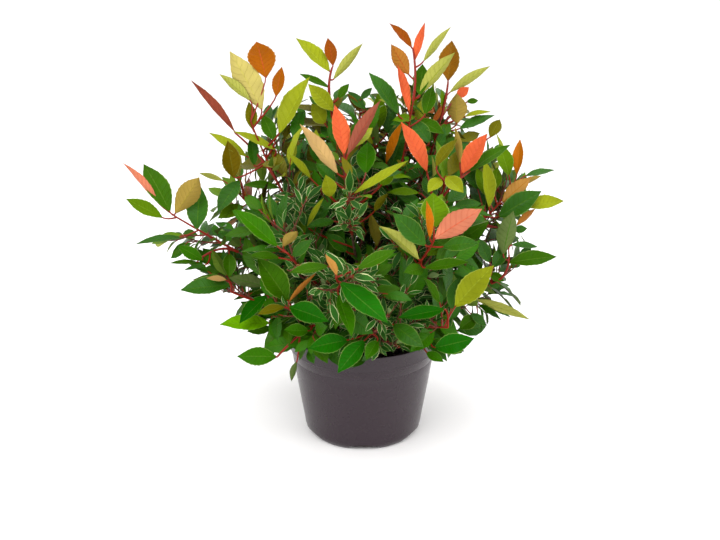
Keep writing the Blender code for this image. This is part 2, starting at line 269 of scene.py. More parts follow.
# The compost rises over its outer steps, from the pot's wall towards the middle.
RISING_STEPS = 6
COMPOST_RISE = 0.0009
COMPOST_EDGE = 0.1207
CRUMBS = 900
CRUMB_SIZES = (0.0009, 0.0030)
CRUMB_BED = 0.1262
CRUMB_REACH = 0.088
# Past this radius the crumbs lie lower, by this much for each metre out.
CRUMB_SLOPE_FROM = 0.056
CRUMB_SLOPE = 0.15

compost = drawn_up("compost_bed", COMPOST_RINGS, COMPOST_SIDES)
bpy.ops.object.mode_set(mode="EDIT")
bpy.ops.mesh.select_all(action="DESELECT")
shape = bmesh.from_edit_mesh(compost.data)
max(shape.faces, key=lambda face: face.calc_center_median().z).select_set(True)
bmesh.update_edit_mesh(compost.data)
for step in range(COMPOST_STEPS):
    rise = COMPOST_RISE if step < RISING_STEPS else 0.0
    bpy.ops.mesh.inset(thickness=COMPOST_STEP, depth=rise)
bpy.ops.mesh.poke()
bpy.ops.object.mode_set(mode="OBJECT")
clods = bpy.data.textures.new("clods", "CLOUDS")
clods.noise_scale = 0.006
clods.noise_depth = 3
top = compost.vertex_groups.new(name="top")
top.add([v.index for v in compost.data.vertices if v.co.z > COMPOST_EDGE], 1.0, "REPLACE")
shaped_by(
    compost, "DISPLACE", texture=clods, strength=0.006, mid_level=0.62, vertex_group="top"
)


def joined(name, points, faces, finishes, face_finish=None, uv=None):
    """One piece from arrays: its points, its faces, and the finish and UV of each face."""
    mesh = bpy.data.meshes.new(name)
    mesh.from_pydata(points.tolist(), [], faces)
    for item in finishes:
        mesh.materials.append(item)
    if face_finish is not None:
        mesh.polygons.foreach_set("material_index", np.ascontiguousarray(face_finish, np.int32))
    if uv is not None:
        layer = mesh.uv_layers.new(name="blade")
        layer.data.foreach_set("uv", np.ascontiguousarray(uv, np.float32).ravel())
    piece = bpy.data.objects.new(name, mesh)
    bpy.context.scene.collection.objects.link(piece)
    return piece


def dealt(faces, count, points_each):
    """The faces of one small shape, repeated for each of its copies."""
    return [[i + copy * points_each for i in face] for copy in range(count) for face in faces]


bpy.ops.mesh.primitive_ico_sphere_add(subdivisions=1, radius=1.0)
crumb = bpy.context.active_object
crumb_points = np.array([v.co for v in crumb.data.vertices])
crumb_faces = [list(face.vertices) for face in crumb.data.polygons]
bpy.data.objects.remove(crumb)
dice = np.random.default_rng(5)
out = CRUMB_REACH * np.sqrt(dice.random(CRUMBS))
turn = dice.random(CRUMBS) * 2 * math.pi
middles = np.stack([out * np.cos(turn), out * np.sin(turn), np.full(CRUMBS, CRUMB_BED)], 1)
middles[:, 2] -= np.clip(out - CRUMB_SLOPE_FROM, 0, 1) * CRUMB_SLOPE
sizes = dice.uniform(*CRUMB_SIZES, (CRUMBS, 1, 1)) * dice.uniform(0.5, 1.4, (CRUMBS, 1, 3))
lumps = crumb_points[None] * (1 + dice.uniform(-0.25, 0.25, (CRUMBS, len(crumb_points), 1)))
lumps = lumps * sizes + middles[:, None]
peat = finish("compost", colour(48, 33, 25), (0.85, 1.0), 420, 0.0016)
two_tone(peat, colour(28, 19, 15), 90.0)
compost.data.materials.append(peat)
settle(compost, ["compost"])
crumbs = joined(
    "compost_crumbs", lumps.reshape(-1, 3), dealt(crumb_faces, CRUMBS, len(crumb_points)), [peat]
)
settle(crumbs, ["compost"])

# The trunk and the boughs: woody stems, grey-brown and ridged at the foot and redder as they get
# younger. The flattest bough leaves the trunk lowest, and the steepest from its tip.
COMPOST_TOP = 0.1263
TRUNK_TAPER = (
    (-0.0040, 0.0098),
    (0.0000, 0.0089),
    (0.0040, 0.0073),
    (0.0110, 0.0064),
    (0.0220, 0.0061),
    (0.0350, 0.0057),
    (0.0500, 0.0050),
    (0.0680, 0.0043),
    (0.0870, 0.0033),
)
# How far the trunk leans for each metre of height, from a foot that stands upright.
TRUNK_LEAN = Vector((0.05, -0.03, 0.0))
TRUNK_SIDES = 28
CUT_RIM = 0.0012
# The size and the depth of the ridges in the bark, and the angle up to which wood is smooth.
TRUNK_RIDGES = (0.0035, 0.0018)
BOUGH_RIDGES = (0.0030, 0.0008)
WOOD_ANGLE = 60
UPRIGHT_FOOT = 0.011
LOWEST_BOUGH = 0.0125
BOUGH_STEP = 0.0030
BOUGH_RADIUS = 0.0024
TIP_RADIUS = 0.0009
STEM_WELD = 0.000002
# How far out a limb's control point stands, as a share of its reach.
CONTROL_REACH = 0.60
# The shares of a limb between which its bark is old, brown, and red.
BARK_AGES = (0.0, 0.22, 0.40, 0.62)
BARK_LAP = 0.004
RINGS_PER_LIMB = 45
# Every fifth ring of a bough is a node, which stands a little proud.
NODE_EVERY = 5
NODE_SWELL = 1.06
# Each limb's heading in degrees, its tip's reach and height, and the share of its rise it makes
# on the way out. Headings run anticlockwise from +X seen from above, so the front is at 270.
LIMBS = {
    "left_low": (195, 0.195, 0.222, 0.45),
    "right_low": (350, 0.184, 0.225, 0.45),
    "front_low_left": (240, 0.150, 0.205, 0.60),
    "front_low": (274, 0.160, 0.200, 0.60),
    "front_low_right": (304, 0.178, 0.203, 0.60),
    "back_low_left": (128, 0.168, 0.212, 0.50),
    "back_low_right": (66, 0.165, 0.208, 0.50),
    "far_left": (187, 0.242, 0.308, 0.55),
    "back_right": (38, 0.195, 0.290, 0.40),
    "back_left": (146, 0.200, 0.290, 0.40),
    "front_mid": (261, 0.200, 0.284, 0.45),
    "right": (2, 0.190, 0.332, 0.35),
    "front_left": (238, 0.164, 0.292, 0.35),
    "back": (92, 0.175, 0.320, 0.35),
    "front_right": (295, 0.186, 0.316, 0.35),
    "centre_right": (322, 0.130, 0.372, 0.30),
    "back_upper_right": (58, 0.120, 0.395, 0.30),
    "back_upper_left": (132, 0.120, 0.400, 0.30),
    "upper_left": (191, 0.140, 0.425, 0.30),
    "centre": (260, 0.120, 0.388, 0.30),
    "upper_right": (20, 0.106, 0.416, 0.30),
    "top_left": (186, 0.042, 0.453, 0.30),
    "top_right": (352, 0.062, 0.447, 0.30),
    "back_top": (95, 0.050, 0.450, 0.30),
}


def trunk_axis(height):
    """The middle of the trunk, height metres above the compost."""
    foot = Vector((0.0, 0.0, COMPOST_TOP + height))
    return foot + TRUNK_LEAN * max(height - UPRIGHT_FOOT, 0.0)


def bezier(line, t):
    """The point a share of the way along a curve that is its start, its control and its end."""
    start, control, end = line
    return start.lerp(control, t).lerp(control.lerp(end, t), t)


def points_on(line, last, steps):
    """Points spaced evenly on a curve, from its start to a share of it."""
    return [bezier(line, last * i / steps) for i in range(steps + 1)]


def limb_line(order, heading, reach, height, bend):
    """The curve of one limb, from the middle of the trunk to its tip."""
    heading = math.radians(heading)
    outward = Vector((math.cos(heading), math.sin(heading), 0.0))
    axis = trunk_axis(LOWEST_BOUGH + BOUGH_STEP * order)
    control = outward * reach * CONTROL_REACH
    control.z = axis.z + bend * (height - axis.z)
    return axis, control, outward * reach + Vector((0.0, 0.0, height))


def limb_radius(t):
    """A limb's radius, which tapers evenly to its tip."""
    return BOUGH_RADIUS + (TIP_RADIUS - BOUGH_RADIUS) * t


def stems(name, runs, level, finishes):
    """Round stems as one piece. A run is its points, its radii and the number of its finish."""
    curve = bpy.data.curves.new(name, "CURVE")
    curve.dimensions = "3D"
    curve.bevel_depth = 1.0
    curve.bevel_resolution = level
    curve.use_fill_caps = True
    for points, radii, kind in runs:
        spline = curve.splines.new("POLY")
        spline.points.add(len(points) - 1)
        for point, at, radius in zip(spline.points, points, radii):
            point.co = (*at, 1.0)
            point.radius = radius
        spline.material_index = kind
    for item in finishes:
        curve.materials.append(item)
    piece = bpy.data.objects.new(name, curve)
    bpy.context.scene.collection.objects.link(piece)
    pick(piece)
    bpy.ops.object.convert(target="MESH")
    piece = bpy.context.active_object
    weld(piece, STEM_WELD)
    return piece


def rough_bark(piece, size, depth):
    """Raises and sinks the bark of a stem, in the mesh itself."""
    ridges = bpy.data.textures.new(piece.name + " ridges", "CLOUDS")
    ridges.noise_scale = size
    ridges.noise_depth = 2
    shaped_by(piece, "DISPLACE", texture=ridges, strength=depth, mid_level=0.5)


lines = {name: limb_line(order, *shape) for order, (name, shape) in enumerate(LIMBS.items())}
barks = [
    finish("old bark", colour(104, 78, 62), (0.75, 0.95), 900, 0.0008),
    finish("brown bark", colour(112, 62, 46), (0.6, 0.85), 900, 0.0005),
    finish("red bark", colour(86, 28, 18), (0.5, 0.7), 700, 0.0003),
    finish("young red stem", colour(122, 28, 10), (0.35, 0.5), 500, 0.0001),
]
for bark in barks:
    bark.node_tree.nodes["Principled BSDF"].inputs["Specular IOR Level"].default_value = 0.2
two_tone(barks[0], colour(66, 46, 36), 160.0)
two_tone(barks[1], colour(78, 42, 32), 140.0)

bpy.ops.mesh.primitive_circle_add(
    vertices=TRUNK_SIDES,
    radius=TRUNK_TAPER[0][1],
    fill_type="NGON",
    location=trunk_axis(TRUNK_TAPER[0][0]),
)
trunk = bpy.context.active_object
trunk.name = "trunk_wood"
bpy.ops.object.mode_set(mode="EDIT")
for (low, wide), (high, narrow) in zip(TRUNK_TAPER, TRUNK_TAPER[1:]):
    bpy.ops.mesh.extrude_region_move(
        TRANSFORM_OT_translate={"value": trunk_axis(high) - trunk_axis(low)}
    )
    bpy.ops.transform.resize(value=(narrow / wide, narrow / wide, 1))
bpy.ops.mesh.inset(thickness=CUT_RIM)
bpy.ops.mesh.select_all(action="SELECT")
bpy.ops.mesh.subdivide(number_cuts=3, smoothness=0.0)
bpy.ops.mesh.normals_make_consistent(inside=False)
bpy.ops.object.mode_set(mode="OBJECT")
bpy.ops.object.transform_apply(location=True, rotation=True, scale=True)
trunk.data.materials.append(barks[0])
rough_bark(trunk, *TRUNK_RIDGES)
settle(trunk, ["trunk"], WOOD_ANGLE)

bough_runs = []
for line in lines.values():
    for kind, (first, last) in enumerate(zip(BARK_AGES, BARK_AGES[1:])):
        count = 3 + int((last - first) * RINGS_PER_LIMB)
        ts = [first + (last + BARK_LAP - first) * i / (count - 1) for i in range(count)]
        swells = [NODE_SWELL if i % NODE_EVERY == 0 and i else 1.0 for i in range(count)]
        radii = [limb_radius(t) * swell for t, swell in zip(ts, swells)]
        bough_runs.append(([bezier(line, t) for t in ts], radii, kind))
boughs = stems("bough_wood", bough_runs, 2, barks[:3])
rough_bark(boughs, *BOUGH_RIDGES)
bough_nodes = [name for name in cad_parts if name.startswith("bough_")]
settle(boughs, bough_nodes, WOOD_ANGLE)

# The measured sprays: the young leaves that carry the plant's colour stand at the ends of the
# limbs, on red stalks. Their places are read off the photograph, and each one sits on its limb.
FRAME_WIDTH, FRAME_HEIGHT = 720, 540
LENS_PIXELS = 1000.0
CAMERA = Vector((-0.004, -1.24, 0.651))
PITCH = math.radians(19)
RIGHT = Vector((1.0, 0.0, 0.0))
UP = Vector((0.0, math.sin(PITCH), math.cos(PITCH)))
TOWARD = Vector((0.0, -math.cos(PITCH), math.sin(PITCH)))
# A shoot: the limb it leaves, how far along, its end in the frame, and mm that it comes forward.
SHOOTS = {
    "spire": ("top_right", 1.0, (413, 49), 0),
    "bronze_spire": ("upper_right", 1.0, (448, 83), 0),
    "twin": ("top_left", 1.0, (332, 68), 0),
    "rose": ("upper_left", 0.72, (235, 133), 5),
    "far_fork": ("far_left", 0.62, (198, 262), 15),
    "right_fork": ("right_low", 0.93, (509, 255), 0),
    "coral_left": ("centre_right", 0.72, (427, 175), 6),
    "coral_right": ("centre_right", 0.80, (461, 178), 4),
    "low_twig": ("front_low_left", 0.60, (277, 357), 10),
}
# A leaf: what carries it, how far along, the foot and tip of its blade in the frame, mm that the
# tip comes forward, its shown width in pixels, its tint, and "under" if its underside shows.
SPRAYS = (
    ("far_left", 0.97, (158, 203), (129, 163), 10, 9, "pink", "under"),
    ("far_left", 1.00, (170, 212), (145, 162), -10, 21, "green"),
    ("far_left", 0.99, (175, 214), (205, 179), 30, 20, "tan", "under"),
    ("far_left", 0.88, (197, 230), (199, 187), 2, 22, "deep"),
    ("far_left", 0.97, (163, 218), (129, 200), 10, 12, "fresh"),
    ("far_left", 0.90, (181, 237), (140, 241), 20, 8, "deep"),
    ("far_left", 0.68, (229, 253), (231, 276), 15, 13, "green"),
    ("far_fork", 0.95, (203, 260), (181, 246), 15, 12, "bright"),
    ("far_fork", 1.00, (198, 262), (172, 262), 10, 5, "green"),
    ("far_fork", 0.85, (206, 265), (186, 270), 10, 5, "deep"),
    ("left_low", 0.90, (231, 285), (184, 288), 15, 16, "deep"),
    ("left_low", 0.92, (229, 281), (193, 277), -8, 9, "green"),
    ("left_low", 0.95, (227, 280), (209, 277), 12, 5, "peach"),
    ("left_low", 0.60, (267, 287), (232, 276), 25, 13, "deep", "under"),
    # This leaf's tint is painted lighter, to make up for its facing away from the key light.
    ("left_low", 0.55, (270, 323), (224, 321), 20, 17, "spring"),
    ("left_low", 0.62, (267, 295), (242, 321), 25, 14, "emerald"),
    ("front_left", 1.00, (278, 247), (238, 210), 10, 16, "bright"),
    ("front_left", 0.99, (283, 247), (297, 230), 20, 10, "tan", "under"),
    ("front_left", 0.94, (292, 257), (311, 240), 8, 12, "deep"),
    ("front_left", 0.92, (280, 258), (251, 254), 6, 8, "green"),
    ("front_low_left", 0.97, (288, 301), (262, 259), 20, 25, "green"),
    ("front_low_left", 1.00, (288, 303), (315, 271), 25, 5, "orange", "under"),
    ("front_low_left", 1.00, (289, 307), (329, 317), 35, 19, "emerald"),
    ("front_low_left", 1.00, (285, 307), (259, 311), 10, 8, "olive"),
    ("front_low_left", 0.86, (309, 331), (286, 330), 10, 13, "bright"),
    ("low_twig", 1.00, (277, 357), (240, 354), 10, 18, "bright"),
    ("low_twig", 0.60, (297, 361), (291, 380), 5, 6, "deep", "under"),
    ("front_mid", 1.00, (337, 276), (326, 254), 15, 8, "amber", "under"),
    ("front_mid", 0.95, (340, 282), (385, 320), 30, 24, "emerald"),
    ("front_mid", 0.90, (338, 294), (351, 333), 25, 15, "bright"),
    ("front_mid", 0.92, (329, 266), (291, 273), 8, 11, "green"),
    ("front_mid", 1.00, (357, 269), (394, 250), 6, 12, "green"),
    ("centre", 0.42, (361, 262), (347, 239), 14, 12, "deep"),
    ("front_low", 0.90, (348, 340), (311, 345), 20, 19, "emerald"),
    ("front_low", 0.95, (365, 340), (338, 369), 15, 19, "emerald"),
    ("front_low", 1.00, (378, 340), (366, 357), 12, 13, "bright"),
    ("front_low", 1.00, (393, 324), (419, 344), 25, 18, "deep"),
    ("front_low_right", 0.85, (434, 348), (471, 338), 20, 20, "emerald"),
    ("front_low_right", 0.80, (426, 352), (442, 361), 10, 10, "bright"),
    ("front_low_right", 1.00, (445, 309), (400, 316), 30, 13, "emerald"),
    ("front_low_right", 1.00, (455, 307), (487, 266), 20, 24, "lime"),
    ("front_low_right", 1.00, (440, 303), (423, 279), 25, 10, "green"),
    ("front_low_right", 0.96, (451, 310), (460, 277), -10, 16, "deep"),
    ("right_low", 0.85, (475, 299), (527, 317), 10, 9, "lime", "under"),
    ("right_low", 0.85, (477, 298), (512, 317), -12, 9, "deep"),
    ("right_low", 0.80, (470, 313), (487, 325), 0, 9, "deep"),
    ("right_low", 0.92, (489, 273), (503, 281), 4, 9, "green"),
    ("right_low", 0.90, (487, 281), (499, 287), 0, 8, "deep"),
    ("right_low", 0.74, (477, 316), (459, 328), 6, 14, "green"),
    ("right_low", 0.90, (490, 263), (478, 239), 0, 13, "deep"),
    ("right_low", 0.96, (493, 268), (507, 247), -6, 13, "deep"),
    ("right_fork", 0.88, (508, 263), (554, 254), 5, 14, "green"),
    ("right_fork", 1.00, (511, 245), (540, 247), -18, 7, "deep"),
    ("right_fork", 0.90, (503, 255), (510, 212), 15, 20, "deep", "under"),
    ("right", 0.90, (498, 217), (538, 193), 15, 21, "deep"),
    ("right", 0.95, (502, 203), (528, 178), 20, 15, "amber", "under"),
    ("right", 1.00, (524, 207), (562, 200), 5, 14, "lime"),
    ("right", 0.90, (516, 226), (534, 209), 5, 7, "orange", "under"),
    ("right", 1.00, (517, 175), (520, 140), 0, 9, "amber"),
    ("right", 1.00, (525, 176), (556, 168), -6, 8, "deep"),
    ("right", 1.00, (520, 185), (540, 176), 6, 6, "tan", "under"),
    ("right", 1.00, (509, 176), (501, 144), 0, 16, "fresh"),
    ("right", 0.93, (489, 208), (485, 162), 15, 13, "lime"),
    ("right", 0.85, (513, 230), (527, 229), 0, 8, "deep"),
    ("right", 0.86, (487, 197), (478, 167), -10, 14, "fresh"),
    ("right", 0.93, (494, 191), (499, 167), -8, 12, "fresh"),
    ("centre_right", 0.84, (453, 207), (480, 203), 6, 12, "deep"),
    ("centre_right", 0.80, (420, 193), (388, 190), 8, 8, "fresh"),
    ("centre_right", 0.78, (447, 202), (470, 184), -22, 15, "deep"),
    ("centre_right", 0.78, (436, 200), (424, 176), -22, 14, "deep"),
    ("right", 0.80, (478, 190), (468, 164), -24, 15, "deep"),
    ("right", 0.78, (485, 206), (472, 184), -30, 14, "deep"),
    ("top_left", 0.80, (334, 143), (323, 121), -8, 14, "deep"),
    ("coral_left", 1.00, (427, 172), (404, 123), 5, 17, "coral"),
    ("coral_right", 1.00, (462, 174), (484, 134), 5, 18, "coral"),
    ("coral_right", 0.90, (469, 172), (509, 141), -15, 11, "green"),
    ("centre_right", 0.97, (436, 167), (455, 136), -10, 12, "olive"),
    ("centre_right", 0.93, (441, 178), (428, 193), 20, 13, "lime"),
    ("centre_right", 0.93, (446, 176), (460, 194), 22, 15, "lime"),
    ("coral_right", 1.00, (460, 164), (457, 128), 0, 7, "tan", "under"),
    ("front_right", 1.00, (434, 239), (478, 209), 15, 24, "pink", "under"),
    ("front_right", 1.00, (430, 239), (427, 204), 24, 8, "amber"),
    ("front_right", 1.00, (434, 228), (434, 193), -6, 30, "fresh"),
    ("front_right", 0.97, (426, 246), (394, 215), 5, 20, "deep"),
    ("front_right", 0.90, (419, 260), (383, 223), 20, 14, "lime", "under"),
    ("front_right", 0.98, (442, 247), (474, 241), 25, 13, "deep"),
    ("front_right", 0.92, (424, 268), (464, 264), 30, 11, "green"),
    ("centre", 1.00, (344, 155), (337, 107), 5, 17, "coral"),
    ("centre", 1.00, (347, 156), (377, 100), -5, 12, "rose", "under"),
    ("centre", 0.97, (338, 174), (302, 127), 10, 15, "peach", "under"),
    ("centre", 0.92, (353, 194), (406, 163), 12, 9, "lime"),
    ("centre", 0.52, (377, 247), (370, 214), 25, 11, "olive", "under"),
    ("centre", 0.85, (331, 197), (327, 178), 20, 15, "lime"),
    ("centre", 0.75, (311, 179), (291, 155), 10, 7, "lime"),
    ("centre", 0.60, (307, 227), (323, 199), 15, 6, "lime"),
    ("top_right", 0.72, (386, 163), (400, 129), 36, 9, "amber"),
    ("centre", 0.80, (366, 174), (367, 140), -12, 20, "bright"),
    ("back_top", 0.90, (380, 129), (378, 96), 10, 15, "fresh"),
    ("back_top", 0.88, (387, 134), (392, 104), 6, 14, "deep"),
    ("back_top", 1.00, (366, 110), (348, 92), 0, 10, "deep"),
    ("back_top", 1.00, (360, 100), (372, 88), 0, 7, "deep"),
    ("back_top", 0.85, (378, 146), (366, 111), 8, 9, "green", "under"),
    ("centre", 0.82, (381, 186), (391, 169), 4, 14, "fresh"),
    ("centre", 0.90, (336, 183), (317, 164), 6, 12, "deep"),
    ("centre", 0.70, (374, 212), (387, 194), 6, 8, "olive"),
    ("centre", 0.50, (347, 252), (327, 234), 14, 13, "deep"),
    ("centre", 0.62, (335, 221), (308, 227), 12, 10, "deep"),
    ("top_right", 0.70, (391, 168), (404, 132), 8, 16, "deep"),
    ("top_right", 0.84, (430, 143), (413, 119), 5, 15, "deep"),
    ("top_right", 0.86, (416, 117), (393, 121), 14, 8, "fresh"),
    ("top_right", 0.80, (418, 119), (443, 134), 2, 13, "green"),
    ("back_top", 0.95, (360, 112), (347, 95), 5, 6, "bronze", "under"),
    ("twin", 1.00, (330, 72), (299, 38), 5, 16, "lime"),
    ("twin", 1.00, (333, 66), (329, 38), 0, 12, "rust"),
    ("twin", 0.75, (333, 80), (361, 44), 0, 8, "lime", "under"),
    ("top_left", 0.97, (334, 111), (309, 88), 15, 16, "lime"),
    ("top_left", 0.98, (338, 99), (349, 84), 0, 9, "green"),
    ("twin", 0.20, (330, 88), (300, 73), -5, 7, "green"),
    ("top_left", 0.85, (325, 124), (312, 107), 15, 16, "lime"),
    ("back_upper_left", 0.82, (316, 163), (320, 124), 10, 16, "bronze"),
    ("rose", 1.00, (235, 132), (195, 80), 0, 9, "rose"),
    ("rose", 0.75, (247, 157), (212, 133), 10, 11, "lime"),
    ("rose", 0.55, (234, 178), (229, 144), 15, 19, "bronze"),
    ("rose", 0.60, (254, 166), (252, 137), 8, 10, "deep"),
    ("upper_left", 1.00, (262, 110), (235, 54), 10, 25, "cream", "under"),
    ("upper_left", 1.00, (266, 78), (257, 40), -12, 27, "orange"),
    ("upper_left", 1.00, (251, 101), (222, 74), 0, 9, "lime", "under"),
    ("upper_left", 1.00, (276, 97), (281, 66), -5, 13, "orange"),
    ("upper_left", 0.93, (279, 134), (308, 79), 5, 22, "lime"),
    ("upper_left", 0.97, (253, 130), (249, 103), 5, 12, "olive"),
    ("upper_left", 0.88, (276, 150), (237, 132), 15, 9, "lime"),
    ("upper_left", 0.90, (275, 141), (262, 115), 0, 14, "green"),
    ("back_left", 1.00, (240, 180), (220, 211), 30, 18, "deep"),
    ("back_left", 1.00, (224, 181), (200, 173), 0, 5, "lime", "under"),
    ("back_left", 1.00, (244, 206), (219, 217), 10, 14, "fresh"),
    ("back_left", 0.90, (280, 188), (246, 184), 15, 9, "green"),
    ("spire", 1.00, (412, 48), (391, 23), 0, 11, "rust"),
    ("spire", 0.85, (414, 62), (425, 23), 0, 9, "coral"),
    ("spire", 0.55, (409, 75), (391, 47), 8, 15, "orange", "under"),
    ("spire", 0.80, (423, 62), (448, 26), -8, 8, "lime", "under"),
    ("top_right", 1.00, (409, 112), (397, 66), 8, 10, "coral"),
    ("spire", 0.20, (420, 96), (424, 63), -12, 16, "green"),
    ("top_right", 1.00, (419, 95), (451, 54), 8, 13, "lime", "under"),
    ("top_right", 0.95, (398, 115), (371, 72), 0, 15, "deep"),
    ("top_right", 0.90, (425, 115), (434, 85), -10, 14, "green"),
    ("bronze_spire", 1.00, (448, 81), (453, 41), 0, 21, "brown"),
    ("bronze_spire", 0.60, (449, 93), (487, 64), -5, 8, "lime", "under"),
    ("upper_right", 1.00, (456, 98), (469, 88), 0, 10, "coral"),
    ("upper_right", 1.00, (457, 124), (455, 95), 5, 20, "tan", "under"),
    ("upper_right", 0.97, (459, 129), (493, 114), 0, 12, "deep"),
    ("upper_right", 0.97, (464, 117), (491, 108), -8, 6, "lime"),
    ("upper_right", 0.95, (466, 102), (479, 100), -5, 6, "green"),
    ("upper_right", 0.90, (490, 138), (500, 118), -10, 12, "olive"),
)
# Each tint's upper and under side. The young leaves are red, and green comes as they harden.
TINTS = {
    "deep": ((40, 90, 2), (88, 106, 52)),
    "green": ((50, 92, 0), (90, 112, 46)),
    "bright": ((48, 102, 0), (98, 124, 38)),
    "emerald": ((22, 92, 0), (84, 116, 40)),
    "fresh": ((84, 118, 0), (124, 140, 54)),
    # This tint is a brighter copy of fresh, painted lighter to make up for the shade on its one
    # leaf.
    "spring": ((112, 174, 4), (116, 150, 44)),
    "lime": ((136, 145, 22), (158, 160, 70)),
    "cream": ((176, 162, 80), (178, 164, 88)),
    "olive": ((98, 94, 0), (122, 112, 32)),
    "bronze": ((94, 78, 0), (122, 92, 28)),
    "tan": ((148, 124, 44), (152, 128, 54)),
    "brown": ((128, 82, 10), (136, 92, 30)),
    "orange": ((148, 79, 0), (162, 104, 34)),
    "amber": ((180, 100, 8), (184, 132, 60)),
    "rust": ((134, 66, 2), (152, 82, 28)),
    "coral": ((206, 90, 50), (204, 112, 78)),
    "pink": ((200, 102, 68), (196, 114, 84)),
    "peach": ((186, 148, 88), (190, 154, 96)),
    "rose": ((128, 60, 42), (142, 74, 54)),
}
WIDTH_SHARE = 0.40
# A measured leaf is a little longer than it shows, because it bends, and it is wider by between
# these two, because it is turned aside.
BENT_LENGTH = 1.04
LEAST_ROLLED = 1.02
MOST_ROLLED = 1.3
MEASURED_STALK = (0.0012, 0.0009)
MEASURED_SHOOT = (0.0019, 0.0013)
MEASURED_STATIONS = 20
MEASURED_COLUMNS = (-1.0, -0.92, -0.5, -0.045, 0.045, 0.5, 0.92, 1.0)
FOOT_TAPER = 1.15
TIP_TAPER = 1.20
WIDEST = FOOT_TAPER / (FOOT_TAPER + TIP_TAPER)
FOOT_WIDTH = 0.04
POINT_WIDTH = 0.0004
BLADE_THICKNESS = 0.010
BLADE_WELD = 0.0006
NEAR = 0.001
JOINT_STEP = 0.012
JOINT_STEPS = 14


def half_width(x):
    """A blade's outline: a wedge at the foot, widest by the middle and drawn out at the tip."""
    swell = (x / WIDEST) ** FOOT_TAPER * ((1 - x) / (1 - WIDEST)) ** TIP_TAPER
    return FOOT_WIDTH * (1 - x) + swell


def blade(name, stations, columns, tooth):
    """A closed leaf blade of unit length and half width, as a thin lens that has a rib column.
    It gives the points, the faces, the column that each face is in, and the UV of its corners."""
    across = len(columns) - 1
    bpy.ops.mesh.primitive_grid_add(
        x_subdivisions=stations, y_subdivisions=across, size=2, location=(0, 0, 0)
    )
    sheet = bpy.context.active_object
    sheet.name = name
    bpy.ops.object.mode_set(mode="EDIT")
    bpy.ops.transform.resize(value=(0.5, 1, 1))
    bpy.ops.transform.translate(value=(0.5, 0, 0))
    bpy.ops.object.mode_set(mode="OBJECT")
    for number, share in enumerate(columns):
        old = -1 + 2 * number / across
        for vert in sheet.data.vertices:
            vert.select = abs(vert.co.y - old) < NEAR
        bpy.ops.object.mode_set(mode="EDIT")
        bpy.ops.transform.translate(value=(0, share - old, 0))
        bpy.ops.mesh.select_all(action="DESELECT")
        bpy.ops.object.mode_set(mode="OBJECT")
    for number in range(stations + 1):
        x = number / stations
        width = half_width(x) * (1 + (tooth if number % 2 else -tooth) * (0 < x < 1))
        for vert in sheet.data.vertices:
            vert.select = abs(vert.co.x - x) < NEAR
        bpy.ops.object.mode_set(mode="EDIT")
        bpy.ops.transform.resize(value=(1, max(width, POINT_WIDTH), 1))
        bpy.ops.mesh.select_all(action="DESELECT")
        bpy.ops.object.mode_set(mode="OBJECT")
    bpy.ops.object.mode_set(mode="EDIT")
    bpy.ops.mesh.select_all(action="SELECT")
    bpy.ops.mesh.duplicate()
    bpy.ops.mesh.flip_normals()
    inner = bmesh.from_edit_mesh(sheet.data)
    for vert in inner.verts:
        if vert.select and (vert.is_boundary or vert.co.x > 1 - NEAR):
            vert.select_set(False)
    inner.select_flush(False)
    bmesh.update_edit_mesh(sheet.data)
    bpy.ops.transform.translate(value=(0, 0, -BLADE_THICKNESS))
    bpy.ops.mesh.select_all(action="SELECT")
    bpy.ops.mesh.remove_doubles(threshold=BLADE_WELD)
    bpy.ops.mesh.dissolve_degenerate(threshold=0.0001)
    bpy.ops.object.mode_set(mode="OBJECT")
    mesh = sheet.data
    points = np.array([v.co for v in mesh.vertices])
    faces = [list(face.vertices) for face in mesh.polygons]
    spots = mesh.uv_layers.active.data
    uv = np.array([spots[i].uv for face in mesh.polygons for i in face.loop_indices])
    kinds = []
    for face in mesh.polygons:
        column = int(np.mean([spots[i].uv[1] for i in face.loop_indices]) * across)
        kinds.append((min(column, across - 1), face.normal.z > 0))
    bpy.data.objects.remove(sheet)
    return points, faces, kinds, uv


def bent(points, length, width, fold, droop, sweep, twist, ripple=0.0):
    """Unit blades brought to size and shape: folded up along the rib, drooped, swept and twisted.
    Each of the measures holds one value for each leaf. It gives points in metres, leaf by leaf."""
    x, y, z = points.T
    length, width, fold, droop, sweep, twist = (
        np.asarray(v, float)[:, None] for v in (length, width, fold, droop, sweep, twist)
    )
    ys = y * width / 2
    zs = z * length * 0.5 + np.abs(ys) * fold
    zs = zs + ripple * width * np.sin(x * 21 + 2 * np.sign(y)) * np.abs(y)
    turned = twist * x
    across = ys * np.cos(turned) - zs * np.sin(turned) + sweep * length * x * x
    raised = ys * np.sin(turned) + zs * np.cos(turned) - droop * length * x * x
    return np.stack([x * length + 0 * across, across, raised], -1)


def laid(blades, feet, along, upper):
    """Blades moved to their feet, with their ribs along one way and their upper sides another."""
    along, upper = np.asarray(along, float), np.asarray(upper, float)
    side = np.cross(upper, along)
    side /= np.linalg.norm(side, axis=1)[:, None]
    upper = np.cross(along, side)
    axes = np.stack([along, side, upper], 1)
    return np.einsum("lpi,lij->lpj", blades, axes) + np.asarray(feet, float)[:, None]


def in_frame(points):
    """Where points lie in the photograph's frame, in pixels, and how far from the camera."""
    away = np.asarray(points, float) - np.array(CAMERA)
    depth = -away @ np.array(TOWARD)
    x = FRAME_WIDTH / 2 + LENS_PIXELS * (away @ np.array(RIGHT)) / depth
    y = FRAME_HEIGHT / 2 - LENS_PIXELS * (away @ np.array(UP)) / depth
    return x, y, depth


def seen_at(pixel, near):
    """The point that lies behind a pixel, at the distance of a point that is near it."""
    depth = (CAMERA - near).dot(TOWARD)
    across = RIGHT * (pixel[0] - FRAME_WIDTH / 2) + UP * (FRAME_HEIGHT / 2 - pixel[1])
    return CAMERA - TOWARD * depth + across * depth / LENS_PIXELS


